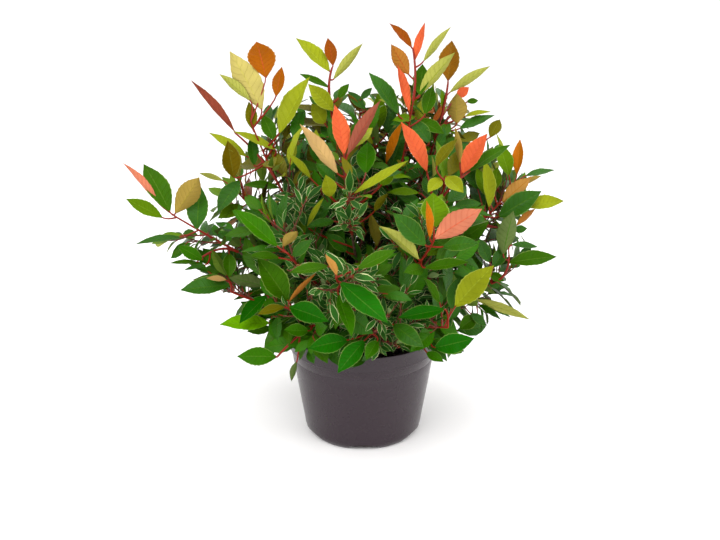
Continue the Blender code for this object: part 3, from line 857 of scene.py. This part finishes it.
def stalk(start, foot, along, radii, steps=4):
    """A stalk that leaves its stem and comes round into the line of its blade."""
    reach = (foot - start).length
    line = (start, foot - along * min(reach * 0.4, 0.006), foot + along * 0.002)
    return points_on(line, 1.0, steps), np.linspace(*radii, steps + 1), 0


def joint_on(line, t, foot, along):
    """Where a stalk leaves its stem: below the foot of its blade, so that it runs on into it."""

    def effort(share):
        reach = foot - bezier(line, share)
        return reach.length * (1.4 - reach.normalized().dot(along))

    return min((max(t - step * JOINT_STEP, 0.0) for step in range(JOINT_STEPS)), key=effort)


shoot_lines = {}
ends = {}
for name, (limb, t, pixel, forward) in SHOOTS.items():
    start = bezier(lines[limb], t)
    end = seen_at(pixel, start) + TOWARD * forward / 1000
    outward = (start - bezier(lines[limb], t - 0.02)).normalized()
    shoot_lines[name] = (start, start + outward * (end - start).length * 0.5, end)
    ends[limb] = max(t, ends.get(limb, 0.0))
stalk_runs = []
measured_rows = []
for carrier, t, foot, tip, forward, shown, tint, *turned in SPRAYS:
    line = lines.get(carrier) or shoot_lines[carrier]
    foot = seen_at(foot, bezier(line, t))
    reach = seen_at(tip, foot) + TOWARD * forward / 1000 - foot
    along = reach.normalized()
    length = reach.length * BENT_LENGTH
    shown = shown / LENS_PIXELS * (CAMERA - foot).dot(TOWARD)
    width = max(min(WIDTH_SHARE * length, shown * MOST_ROLLED), shown * LEAST_ROLLED)
    facing = (TOWARD - along * TOWARD.dot(along)).normalized()
    roll = math.acos(min(shown / width, 1.0))
    facing = -facing if turned else facing
    upper = max((Quaternion(along, turn) @ facing for turn in (roll, -roll)), key=lambda way: way.z)
    share = joint_on(line, t, foot, along)
    ends[carrier] = max(share, ends.get(carrier, 0.0))
    stalk_runs.append(stalk(bezier(line, share), foot, along, MEASURED_STALK))
    measured_rows.append((foot, along, upper, length, width, tint))
shoot_runs = []
for name, line in shoot_lines.items():
    points = points_on(line, ends[name], 10)
    shoot_runs.append((points, np.linspace(*MEASURED_SHOOT, len(points)), 0))

# The grown foliage: from every limb side shoots turn off by the golden angle, and twigs from
# them. The leaves turn by two fifths and open wider away from a tip, and inside the crown they
# are small and narrow, their edges pale with a painted highlight. A leaf that would cross a stem
# or a leaf turns aside.
CROWN_LOW = np.array((-0.300, -0.256, 0.085))
CROWN_HIGH = np.array((0.258, 0.250, 0.542))
# Stems and leaves are marked in cells of space, and what hides what in cells of the frame.
CELL = 0.004
FRAME_STEP = 3
# The crown's edge in the photograph's frame, inside which the grown leaves keep.
CROWN_EDGE = (
    (243, 345), (222, 322), (240, 302), (212, 292), (178, 284), (182, 262), (152, 246),
    (160, 228), (198, 226), (214, 204), (206, 186), (226, 176), (214, 150), (236, 148),
    (246, 128), (254, 104), (282, 104), (300, 92), (324, 96), (340, 88), (352, 96), (372, 90),
    (388, 100), (404, 84), (424, 74), (440, 88), (454, 104), (478, 106), (492, 120), (504, 140),
    (512, 166), (530, 176), (532, 204), (524, 232), (536, 246), (524, 262), (506, 280),
    (524, 306), (508, 318), (488, 328), (470, 346), (446, 364), (430, 354), (402, 352),
    (372, 362), (344, 372), (320, 360), (296, 374), (284, 356), (262, 362),
)
SEED = 7
INNER_SEED = 57
TURN = math.radians(137.5)
LEAF_TURN = math.radians(144)
SKYWARD = Vector((0.2, 0.1, 1.0))
# A shoot or leaf that doesn't fit is turned on and made smaller, up to this many times.
TRIES = 7
TRY_TURN = math.radians(50)
TRY_SHRINK = 0.94
# How many of a leaf's samples may lie in taken cells, past the crown's edge, and in front of a
# measured leaf by more than a gap. The samples nearest its foot may lie in its own stem.
MOST_TOUCHING = 2
MOST_OUTSIDE = 11
MOST_HIDING = 5
HIDING_GAP = 0.004
FOOT_SAMPLES = 20
# The space over the pot's rim, and the space round it in which leaves may hang.
OVER_RIM = 0.146
PAST_RIM = 0.103
LOWEST_LEAF = 0.090
SIDE_SHOOTS = 10
SIDE_SHARES = (0.30, 0.97)
SIDE_LENGTHS = (0.082, 0.040)
SIDE_ANGLES = (math.radians(58), math.radians(36))
TWIGS = 4
TWIG_LENGTHS = (0.044, 0.026)
TWIG_ANGLE = math.radians(48)
INNER_TWIGS = 10
INNER_SHARES = (0.10, 0.62)
INNER_LENGTHS = (0.026, 0.046)
INNER_ANGLE = math.radians(60)
SAG = 0.12
# Leaves face away from an upright line that stands this far behind the middle of the crown.
BEHIND = 0.07
# A leaf that is seen end on, or from its underside, is turned on like one that doesn't fit.
LEAST_SHOWN = 0.1
MOST_END_ON = 0.86
# The share of shoots that bear small leaves, pale at the edge with a painted highlight, where
# these grow: in the front of the crown, low and near its middle, and in its heart, an egg shape
# that shows in front.
PALE_SHARE = 0.7
PALE_UNDER = 0.36
PALE_WITHIN = 0.11
PALE_BEFORE = 0.03
PALE_DEPTH = 1.3
HEART = Vector((0.0, -0.08, 0.27))
HEART_SIZE = Vector((0.115, 0.17, 0.11))
# How a shoot bears its leaves: their kind, the length that they take up from its tip, the step
# from leaf to leaf, and the range of their lengths.
LEAFING = {
    "back limb": ("tip", 0.055, 0.009, (0.050, 0.066)),
    "limb": ("common", 0.090, 0.013, (0.046, 0.060)),
    "shoot": ("common", 0.060, 0.011, (0.042, 0.060)),
    "pale shoot": ("inner", 0.070, 0.005, (0.018, 0.034)),
    "twig": ("common", 0.030, 0.010, (0.032, 0.046)),
    "pale twig": ("inner", 0.050, 0.0045, (0.017, 0.032)),
    "inner twig": ("common", 0.040, 0.010, (0.036, 0.052)),
    "pale inner twig": ("inner", 0.050, 0.0045, (0.016, 0.034)),
}
# The bud past the last leaf, and the most of a shoot's length that bears leaves.
BUD = 0.001
LEAFY_SHARE = 0.92
# The last leaf is the smallest and stands 14 degrees off its shoot, and each one before it opens
# by 13 degrees more, up to the fifth.
LAST_LEAF = 0.84
LAST_OPENING = 14
OPENING_STEP = 13
OPENING_STEPS = 4
# A shoot's older leaves mostly share its tint, and these have a tint of their own this often.
OWN_TINT = 0.4
# The stalk and its lift, as shares of the blade's length.
STALK_LENGTH = 0.16
STALK_LIFT = 0.02
# The ranges of a leaf's width to its length, and of its fold, droop, sweep and twist.
LEAF_SHAPES = ((0.36, 0.46), (0.10, 0.42), (0.02, 0.22), (-0.08, 0.08), (-0.5, 0.5))
INNER_WIDTHS = (0.26, 0.38)
MEASURED_SHAPES = ((0.20, 0.46), (0.0, 0.12), (-0.05, 0.05), (-0.3, 0.3))
# The radii of a stalk at its two ends, and its bends.
STALK = ((0.0008, 0.0005), 2)
FINE_STALK = ((0.0005, 0.0004), 1)
# The radii of grown wood at its foot and its end.
SHOOT_RADII = (0.0013, 0.0008)
TWIG_RADII = (0.0009, 0.0006)
INNER_RADII = (0.0009, 0.0005)
# The heights at which tints change, and how often a leaf near a tip is a young one: at the back,
# in front, and lower down.
LOW_HEIGHT = 0.24
YOUNG_HEIGHT = 0.26
HIGH_HEIGHT = 0.36
YOUNG_BACK, YOUNG_FRONT, YOUNG_LOW = 0.18, 0.04, 0.12
RED_STALKED = "coral pink rose rust orange peach bronze brown amber".split()
TIP_TINTS = "lime orange fresh coral bronze peach tan olive rust lime".split()
LOW_TINTS = "bright bright bright green green deep deep".split()
MIDDLE_TINTS = "deep deep deep green green green bright bright fresh".split()
HIGH_TINTS = "deep deep deep green green bright fresh lime olive".split()
YOUNG_TINTS = "lime olive fresh fresh".split()

size_in_cells = ((CROWN_HIGH - CROWN_LOW) / CELL).astype(int) + 1
leaf_cells = np.zeros(size_in_cells, bool)
wood_cells = np.zeros(size_in_cells, bool)
measured_cells = np.zeros(size_in_cells, bool)
cover = np.zeros((FRAME_WIDTH // FRAME_STEP, FRAME_HEIGHT // FRAME_STEP))
grid_x, grid_y = ((axis + 0.5) * FRAME_STEP for axis in np.indices(cover.shape))
within_edge = np.zeros(cover.shape, bool)
for (x0, y0), (x1, y1) in zip(CROWN_EDGE, CROWN_EDGE[1:] + CROWN_EDGE[:1]):
    if y0 != y1:
        beside = grid_x < (x1 - x0) * (grid_y - y0) / (y1 - y0) + x0
        within_edge ^= ((y0 > grid_y) != (y1 > grid_y)) & beside
along_blade = np.linspace(0.10, 0.99, 17)
across_blade = half_width(along_blade)[:, None] * np.linspace(-0.94, 0.94, 7)
blade_samples = np.stack(
    [np.repeat(along_blade, 7), across_blade.ravel(), np.zeros(across_blade.size)], 1
)


def cells_of(points):
    """The cells of space that points lie in."""
    return tuple(((points - CROWN_LOW) / CELL).astype(int).T)


def frame_cells(points):
    """The cells of the frame that points show in, and how far they are from the camera."""
    x, y, depth = in_frame(points)
    return (x / FRAME_STEP).astype(int), (y / FRAME_STEP).astype(int), depth


def mark_wood(points):
    """Marks the cells that a stem passes through."""
    for a, b in zip(points, points[1:]):
        steps = 2 + int((b - a).length / CELL * 1.5)
        run = np.array([a.lerp(b, i / steps) for i in range(steps + 1)])
        inside = ((run > CROWN_LOW) & (run < CROWN_HIGH)).all(1)
        wood_cells[cells_of(run[inside])] = True


def clear_of_pot(points):
    """Whether all the points are over the pot's rim, or hang outside it."""
    x, y, z = points.T
    return ((z > OVER_RIM) | ((np.hypot(x, y) > PAST_RIM) & (z > LOWEST_LEAF))).all()


def leaf_points(leaf):
    """Samples of the place that a leaf takes up, from its foot to its tip."""
    foot, along, upper, *measures = leaf[:9]
    blades = bent(blade_samples, *([m] for m in measures))
    return laid(blades, [foot], [along], [upper])[0]


def fits(points, in_view):
    """Whether a leaf keeps to the crown and touches no stem, no leaf and nothing measured."""
    if (points < CROWN_LOW).any() or (points > CROWN_HIGH).any() or not clear_of_pot(points):
        return False
    where = cells_of(points)
    if measured_cells[where].any() or leaf_cells[where].sum() > MOST_TOUCHING:
        return False
    if wood_cells[where][FOOT_SAMPLES:].sum() > MOST_TOUCHING:
        return False
    x, y, depth = frame_cells(points)
    if (~within_edge[x, y]).sum() > MOST_OUTSIDE:
        return False
    return not in_view or (depth < cover[x, y] - HIDING_GAP).sum() <= MOST_HIDING


def take(leaf, points):
    """Keeps a leaf with the others of its kind and tint, and marks its place as taken."""
    leaf_cells[cells_of(points)] = True
    leaves.setdefault(leaf[9], []).append(leaf)


def away_from(axis, turn):
    """A way out from a stem's axis, turned about it from the side that faces the sky."""
    side = (SKYWARD - axis * SKYWARD.dot(axis)).normalized()
    return Quaternion(axis, turn) @ side


def on_run(points, share):
    """The point a share of the way along a run of points, and the way that it heads there."""
    lengths = [(b - a).length for a, b in zip(points, points[1:])]
    left = sum(lengths) * share
    part = 0
    while part < len(lengths) - 1 and left > lengths[part]:
        left -= lengths[part]
        part += 1
    axis = (points[part + 1] - points[part]).normalized()
    return points[part] + axis * left, axis


def in_heart(point):
    """Whether a place lies in the middle of the crown's front, where the small leaves show."""
    return sum(((a - b) / c) ** 2 for a, b, c in zip(point, HEART, HEART_SIZE)) < 1


def in_shade(point):
    """Whether a place lies deep enough in the crown to bear small leaves with painted edge
    highlights.
    """
    if point.y > PALE_BEFORE or point.z > PALE_UNDER:
        return in_heart(point)
    return math.hypot(point.x, point.y / PALE_DEPTH) < PALE_WITHIN or in_heart(point)


def cut_back(points, share):
    """The part of a stem that is left when its bare end is taken off."""
    return [on_run(points, share * i / 5)[0] for i in range(6)]


def offshoot(points, share, turn, angle, length, lift=0.22, steps=5):
    """A shoot that leaves a stem at an angle and then lifts."""
    base, axis = on_run(points, share)
    way = axis * math.cos(angle) + away_from(axis, turn) * math.sin(angle)
    rise = Vector((0.0, 0.0, lift * length))
    return [base + way * length * i / steps + rise * (i / steps) ** 2 for i in range(steps + 1)]


def in_leaves(run):
    """Whether a stem runs through leaves, or in front of a measured one."""
    at = np.array([a.lerp(b, i / 6) for a, b in zip(run, run[1:]) for i in range(6)])
    x, y, depth = frame_cells(at)
    within = leaf_cells[cells_of(at.clip(CROWN_LOW, CROWN_HIGH - CELL))][4:].sum()
    return within > 1 or (depth < cover[x, y] - 0.002).any()


def first_shoot(points, share, turn, angle, length):
    """The first try at a shoot that keeps to the crown, and clear of the pot."""
    for number in range(TRIES):
        run = offshoot(points, share, turn + TRY_TURN * number, angle, length * TRY_SHRINK**number)
        tip = np.array([run[2], run[-1]])
        if (tip < CROWN_LOW + 0.01).any() or (tip > CROWN_HIGH - 0.01).any():
            continue
        x, y, _ = frame_cells(tip)
        if within_edge[x, y].all() and clear_of_pot(tip) and not in_leaves(run):
            return run
    return None


def tint_for(node, rank, chance):
    """A leaf's tint by its height and its place on the shoot. In front the measured leaves give
    the red and yellow ones, so there the others are rarely so."""
    height = node.z
    lively = YOUNG_BACK if node.y > 0.06 else YOUNG_FRONT
    if height > HIGH_HEIGHT and rank < 3 and chance.random() < lively:
        return chance.choice(TIP_TINTS)
    if height > YOUNG_HEIGHT and rank < 2 and chance.random() < YOUNG_LOW:
        return chance.choice(YOUNG_TINTS)
    if height < LOW_HEIGHT:
        return chance.choice(LOW_TINTS)
    return chance.choice(HIGH_TINTS if height > HIGH_HEIGHT else MIDDLE_TINTS)


def leaf_out(points, leafing, chance):
    """Puts the leaves on one shoot, from its tip down, and gives the share that bears them."""
    kind, leafy, spacing, lengths = LEAFING[leafing]
    stalk_radii, stalk_bends = FINE_STALK if kind == "inner" else STALK
    borne = 0.0
    whole = sum((b - a).length for a, b in zip(points, points[1:]))
    first_turn = chance.uniform(0.0, 2 * math.pi)
    shoot_tint = tint_for(points[-1], 9, chance)
    for rank in range(1 + int(min(leafy, whole * LEAFY_SHARE) / spacing)):
        share = 1 - (rank * spacing + BUD) / whole
        node, axis = on_run(points, share)
        opening = LAST_OPENING + OPENING_STEP * min(rank, OPENING_STEPS)
        angle = math.radians(opening + chance.uniform(-6, 6))
        turn = first_turn + LEAF_TURN * rank
        length = chance.uniform(*lengths) * (LAST_LEAF if rank == 0 else 1.0)
        own = tint_for(node, rank, chance)
        tint = own if rank < 3 or chance.random() < OWN_TINT else shoot_tint
        if kind == "tip":
            tint = TIP_TINTS[(rank * 3 + int(first_turn * 10)) % len(TIP_TINTS)]
        width, *bends = (chance.uniform(*ends) for ends in LEAF_SHAPES)
        if kind == "inner":
            tint, width = "dull" if rank % 2 else "pale", chance.uniform(*INNER_WIDTHS)
        for number in range(TRIES):
            out = away_from(axis, turn + TRY_TURN * number)
            along = axis * math.cos(angle) + out * math.sin(angle) - SKYWARD * SAG * min(rank, 2)
            along.normalize()
            outward = Vector((node.x, node.y - BEHIND, 0.0)).normalized()
            upper = (axis - along * axis.dot(along)) * 0.7 + outward * 0.5 + SKYWARD * 0.6
            shown = (upper - along * along.dot(upper)).normalized().dot(outward + SKYWARD * 0.3)
            if kind == "common" and (shown < LEAST_SHOWN or along.dot(outward) > MOST_END_ON):
                continue
            size = length * TRY_SHRINK**number
            foot = node + along * size * STALK_LENGTH + Vector((0.0, 0.0, size * STALK_LIFT))
            leaf = (foot, along, upper, size, width * size, *bends, (kind, tint))
            at = leaf_points(leaf)
            if fits(at, kind != "tip"):
                take(leaf, at)
                run = stalk(node, foot, along, stalk_radii, stalk_bends)
                stalk_runs.append((*run[:2], 0 if tint in RED_STALKED else 1))
                borne = borne or share
                break
    return borne


leaves = {}
for line in lines.values():
    mark_wood(points_on(line, 1.0, 30))
for row, (*place, tint) in enumerate(measured_rows):
    chance = random.Random(row)
    bends = [chance.uniform(*ends) for ends in MEASURED_SHAPES]
    leaf = (*place, *bends, ("measured", tint))
    at = leaf_points(leaf)
    take(leaf, at)
    measured_cells[cells_of(at)] = True
    x, y, depth = frame_cells(at)
    for dx in (-1, 0, 1):
        for dy in (-1, 0, 1):
            near = cover[x + dx, y + dy]
            cover[x + dx, y + dy] = np.where(near > 0, np.minimum(near, depth), depth)

twig_runs = []
young_ends = []
for order, (name, line) in enumerate(lines.items()):
    chance = random.Random(SEED + order)
    end = ends.get(name, 1.0)
    leader = points_on(line, end, 24)
    ts = [BARK_AGES[-1] + (end - BARK_AGES[-1]) * i / 12 for i in range(13)]
    shoot_runs.append(([bezier(line, t) for t in ts], [limb_radius(t) * 1.2 for t in ts], 0))
    if name.startswith("back"):
        leaf_out(leader, "back limb", chance)
    grown = []
    for number in range(SIDE_SHOOTS):
        share = number / (SIDE_SHOOTS - 1)
        t, angle, length = (
            a + (b - a) * share for a, b in (SIDE_SHARES, SIDE_ANGLES, SIDE_LENGTHS)
        )
        length *= chance.uniform(0.85, 1.15)
        shoot = first_shoot(leader, t, TURN * number + order, angle, length)
        if shoot is not None:
            mark_wood(shoot)
            grown.append((shoot, share))
    for shoot, share in grown:
        pale = in_heart(shoot[-1]) and chance.random() < PALE_SHARE
        borne = leaf_out(shoot, "pale shoot" if pale else "shoot", chance)
        if not borne:
            continue
        shoot = cut_back(shoot, borne)
        twig_runs.append((shoot, np.linspace(*SHOOT_RADII, len(shoot)), int(share > 0.6)))
        for place in range(TWIGS):
            reach = 0.25 + 0.6 * place / (TWIGS - 1)
            length = chance.uniform(*TWIG_LENGTHS)
            twig = first_shoot(shoot, reach, TURN * place + share * 9, TWIG_ANGLE, length)
            if twig is not None:
                pale = chance.random() < PALE_SHARE and in_shade(twig[-1])
                young_ends.append((twig, "pale twig" if pale else "twig", chance))
    leaf_out(leader, "limb", chance)
for twig, leafing, chance in young_ends:
    borne = leaf_out(twig, leafing, chance)
    if borne:
        twig_runs.append((cut_back(twig, borne), np.linspace(*TWIG_RADII, 6), 0))
for order, line in enumerate(lines.values()):
    chance = random.Random(INNER_SEED + order)
    leader = points_on(line, 1.0, 24)
    for number in range(INNER_TWIGS):
        t = INNER_SHARES[0] + (INNER_SHARES[1] - INNER_SHARES[0]) * number / (INNER_TWIGS - 1)
        length = chance.uniform(*INNER_LENGTHS)
        twig = first_shoot(leader, t, TURN * number + 2 + order, INNER_ANGLE, length)
        if twig is None:
            continue
        pale = in_shade(twig[-1])
        borne = leaf_out(twig, "pale inner twig" if pale else "inner twig", chance)
        if borne:
            twig_runs.append((cut_back(twig, borne), np.linspace(*INNER_RADII, 6), 0))

leaf_nodes = [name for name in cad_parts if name.startswith("leaves_")]
green_stalk = finish("green stalk", colour(126, 134, 60), (0.4, 0.6), 500, 0.0001)
for name, runs, level, finishes in (
    ("red_shoots", shoot_runs, 1, barks[3:]),
    ("twig_wood", twig_runs, 0, barks[1:3]),
    ("leaf_stalks", stalk_runs, 0, [barks[3], green_stalk]),
):
    settle(stems(name, runs, level, finishes), leaf_nodes, WOOD_ANGLE)

# Veins is the net that a leaf's ribs raise in its surface: side veins that leave the rib at an
# angle and run to the margin, with a fine mesh between them. It reads the blade's own UV map.
VEIN_PAIRS = 9.0
veins, inlet, outlet = node_group("veins", {"Pairs": VEIN_PAIRS}, ["Mask", "Height"])
spot = new_node(veins, "ShaderNodeUVMap", {"uv_map": "blade"}).outputs["UV"]
parts = new_node(veins, "ShaderNodeSeparateXYZ", Vector=spot)


def reckon(tree, operation, a, b=None, c=None):
    """A Math node on values or sockets, and its result."""
    made = new_node(tree, "ShaderNodeMath", {"operation": operation})
    for entry, value in zip(made.inputs, (a, b, c)):
        if isinstance(value, bpy.types.NodeSocket):
            tree.links.new(value, entry)
        elif value is not None:
            entry.default_value = value
    return made.outputs["Value"]


off_rib = reckon(veins, "ABSOLUTE", reckon(veins, "SUBTRACT", parts.outputs["Y"], 0.5))
slant = reckon(veins, "MULTIPLY_ADD", off_rib, -0.42, parts.outputs["X"])
swing = reckon(veins, "MULTIPLY", slant, inlet["Pairs"])
wave = reckon(veins, "COSINE", reckon(veins, "MULTIPLY", swing, 2 * math.pi))
smooth = {"interpolation_type": "SMOOTHSTEP"}
line = new_node(veins, "ShaderNodeMapRange", smooth, Value=wave, From_Min=0.78, From_Max=1.0)
line = line.outputs["Result"]
net = new_node(
    veins, "ShaderNodeTexVoronoi", {"feature": "DISTANCE_TO_EDGE"}, Vector=spot, Scale=26.0
)
raised = reckon(veins, "MULTIPLY", net.outputs["Distance"], 0.6)
fed(veins, outlet, Mask=line, Height=reckon(veins, "SUBTRACT", raised, line))


def leaf_finish(name, base, gloss, vein=None, sheen=0.09):
    """A leaf's finish: one tint, its veins in relief, and on the larger leaves a paler net too."""
    material, tree, shader = plain_finish(name, base, 70.0, gloss)
    net = new_node(tree, "ShaderNodeGroup", {"node_tree": veins}, Pairs=VEIN_PAIRS)
    bump = new_node(tree, "ShaderNodeBump", Height=net.outputs["Height"], Distance=0.0004)
    fed(tree, shader, Specular_IOR_Level=sheen, Normal=bump.outputs["Normal"])
    if vein is not None:
        patchy = two_tone(material, tuple(c * 0.72 for c in base), 34.0, 0.0, 0.75)
        mix_in(tree, shader, patchy, vein, reckon(tree, "MULTIPLY", net.outputs["Mask"], 0.34))
    return material


def mixed(a, b, share):
    """A colour that lies a share of the way from one to another."""
    return tuple(x + (y - x) * share for x, y in zip(a, b))


common_blade = blade("common blade", 9, (-1.0, -0.055, 0.055, 1.0), 0.035)
BLADES = {
    "measured": blade("measured blade", MEASURED_STATIONS, MEASURED_COLUMNS, 0.025),
    "tip": common_blade,
    "common": common_blade,
    "inner": blade("inner blade", 5, (-1.0, -0.82, 0.82, 1.0), 0.03),
}
# Which finish each column of a blade has: 0 blade, 1 rib or pale edge with a painted highlight,
# 2 underside, 3 margin with a painted highlight.
UPPER_SIDES = {
    "measured": (3, 0, 0, 1, 0, 0, 3), "tip": (0, 1, 0), "common": (0, 1, 0), "inner": (1, 0, 1),
}
UNDERSIDES = {
    "measured": (2, 2, 2, 1, 2, 2, 2), "tip": (2, 1, 2), "common": (2, 1, 2), "inner": (2, 2, 2),
}
# The small leaves of the inner crown: their blade, their edge, pale with a painted highlight,
# and their underside.
INNER_TINTS = {
    "pale": ((40, 90, 22), (206, 214, 154), (112, 134, 80)),
    "dull": ((32, 76, 16), (134, 154, 84), (88, 110, 56)),
}
LEAF_ANGLE = 50
RED_RIBBED = "coral pink rose rust orange".split()
RED_RIB = colour(176, 50, 34)
GREEN_RIB = colour(140, 164, 56)
# The colour mixed into the measured leaves' margins: a painted highlight along the toothed edge.
MARGIN_HIGHLIGHT = colour(190, 204, 110)
for (kind, tint), group in sorted(leaves.items()):
    if kind == "inner":
        # Each inner leaf's edge finish is a painted highlight.
        finishes = [
            leaf_finish(f"inner {tint} {part}", colour(*shade), (0.35, 0.55))
            for part, shade in zip(("blade", "edge", "underside"), INNER_TINTS[tint])
        ]
    else:
        over, under = (colour(*c) for c in TINTS[tint])
        red = tint in RED_RIBBED
        rib = mixed(over, RED_RIB, 0.34) if red else mixed(over, GREEN_RIB, 0.1)
        veined = kind in ("measured", "tip")
        over_vein, under_vein = (
            (mixed(over, rib, 0.6), mixed(under, rib, 0.5)) if veined else (None, None)
        )
        sheen = 0.16 if tint == "deep" else 0.04 if kind == "measured" else 0.10
        finishes = [
            leaf_finish(f"{kind} {tint} blade", over, (0.28, 0.46), over_vein, sheen),
            leaf_finish(f"{kind} {tint} rib", rib, (0.35, 0.50)),
            leaf_finish(f"{kind} {tint} underside", under, (0.45, 0.62), under_vein),
        ]
        if kind == "measured":
            # The margin finish paints a highlight along the edge, fainter on the red leaves.
            margin = mixed(over, MARGIN_HIGHLIGHT, 0.1 if red else 0.2)
            finishes.append(leaf_finish(f"measured {tint} margin", margin, (0.40, 0.55)))
    points, faces, columns, uv = BLADES[kind]
    face_finishes = [
        (UPPER_SIDES if upper else UNDERSIDES)[kind][column] for column, upper in columns
    ]
    feet, along, upper, *measures = (np.array([leaf[i] for leaf in group]) for i in range(9))
    blades = laid(bent(points, *measures, ripple=0.02), feet, along, upper)
    piece = joined(
        f"{kind}_leaves_{tint}",
        blades.reshape(-1, 3),
        dealt(faces, len(group), len(points)),
        finishes,
        np.tile(face_finishes, len(group)),
        np.tile(uv, (len(group), 1)),
    )
    settle(piece, leaf_nodes, LEAF_ANGLE)

# The studio: a white table under a plain white world light, and broad soft lights round it.
FLOOR_SIZE = 30
bpy.ops.mesh.primitive_plane_add(size=FLOOR_SIZE, location=(0, 0, 0))
floor = bpy.context.active_object
floor.name = "floor"
floor.data.materials.append(finish("white table", (0.96, 0.945, 0.945), (0.55, 0.65), 3, 0.0001))
world = bpy.data.worlds.new("studio")
bpy.context.scene.world = world
world.use_nodes = True
fed(world.node_tree, world.node_tree.nodes["Background"], Color=(1, 1, 1, 1), Strength=1.21)
# Each light's place, its size and its power. All three shine on the middle of the plant.
LIGHTS = {
    "key": ((-0.85, -1.65, 2.0), 1.2, 32),
    "fill": ((1.55, -1.25, 1.5), 1.4, 17),
    "top": ((0.2, 0.5, 2.4), 1.4, 18),
}
LIT_POINT = Vector((0, 0, 0.25))
for name, (at, size, power) in LIGHTS.items():
    lamp = bpy.data.lights.new(name, "AREA")
    lamp.size = size
    lamp.energy = power
    light = bpy.data.objects.new(name, lamp)
    bpy.context.scene.collection.objects.link(light)
    light.location = at
    light.rotation_euler = (LIT_POINT - Vector(at)).to_track_quat("-Z", "Y").to_euler()
bpy.context.scene.view_settings.view_transform = "Standard"

bpy.ops.object.camera_add(location=CAMERA, rotation=(math.radians(90) - PITCH, 0, 0))
camera = bpy.context.active_object
camera.data.lens = 50
camera.data.sensor_width = 36
bpy.context.scene.camera = camera
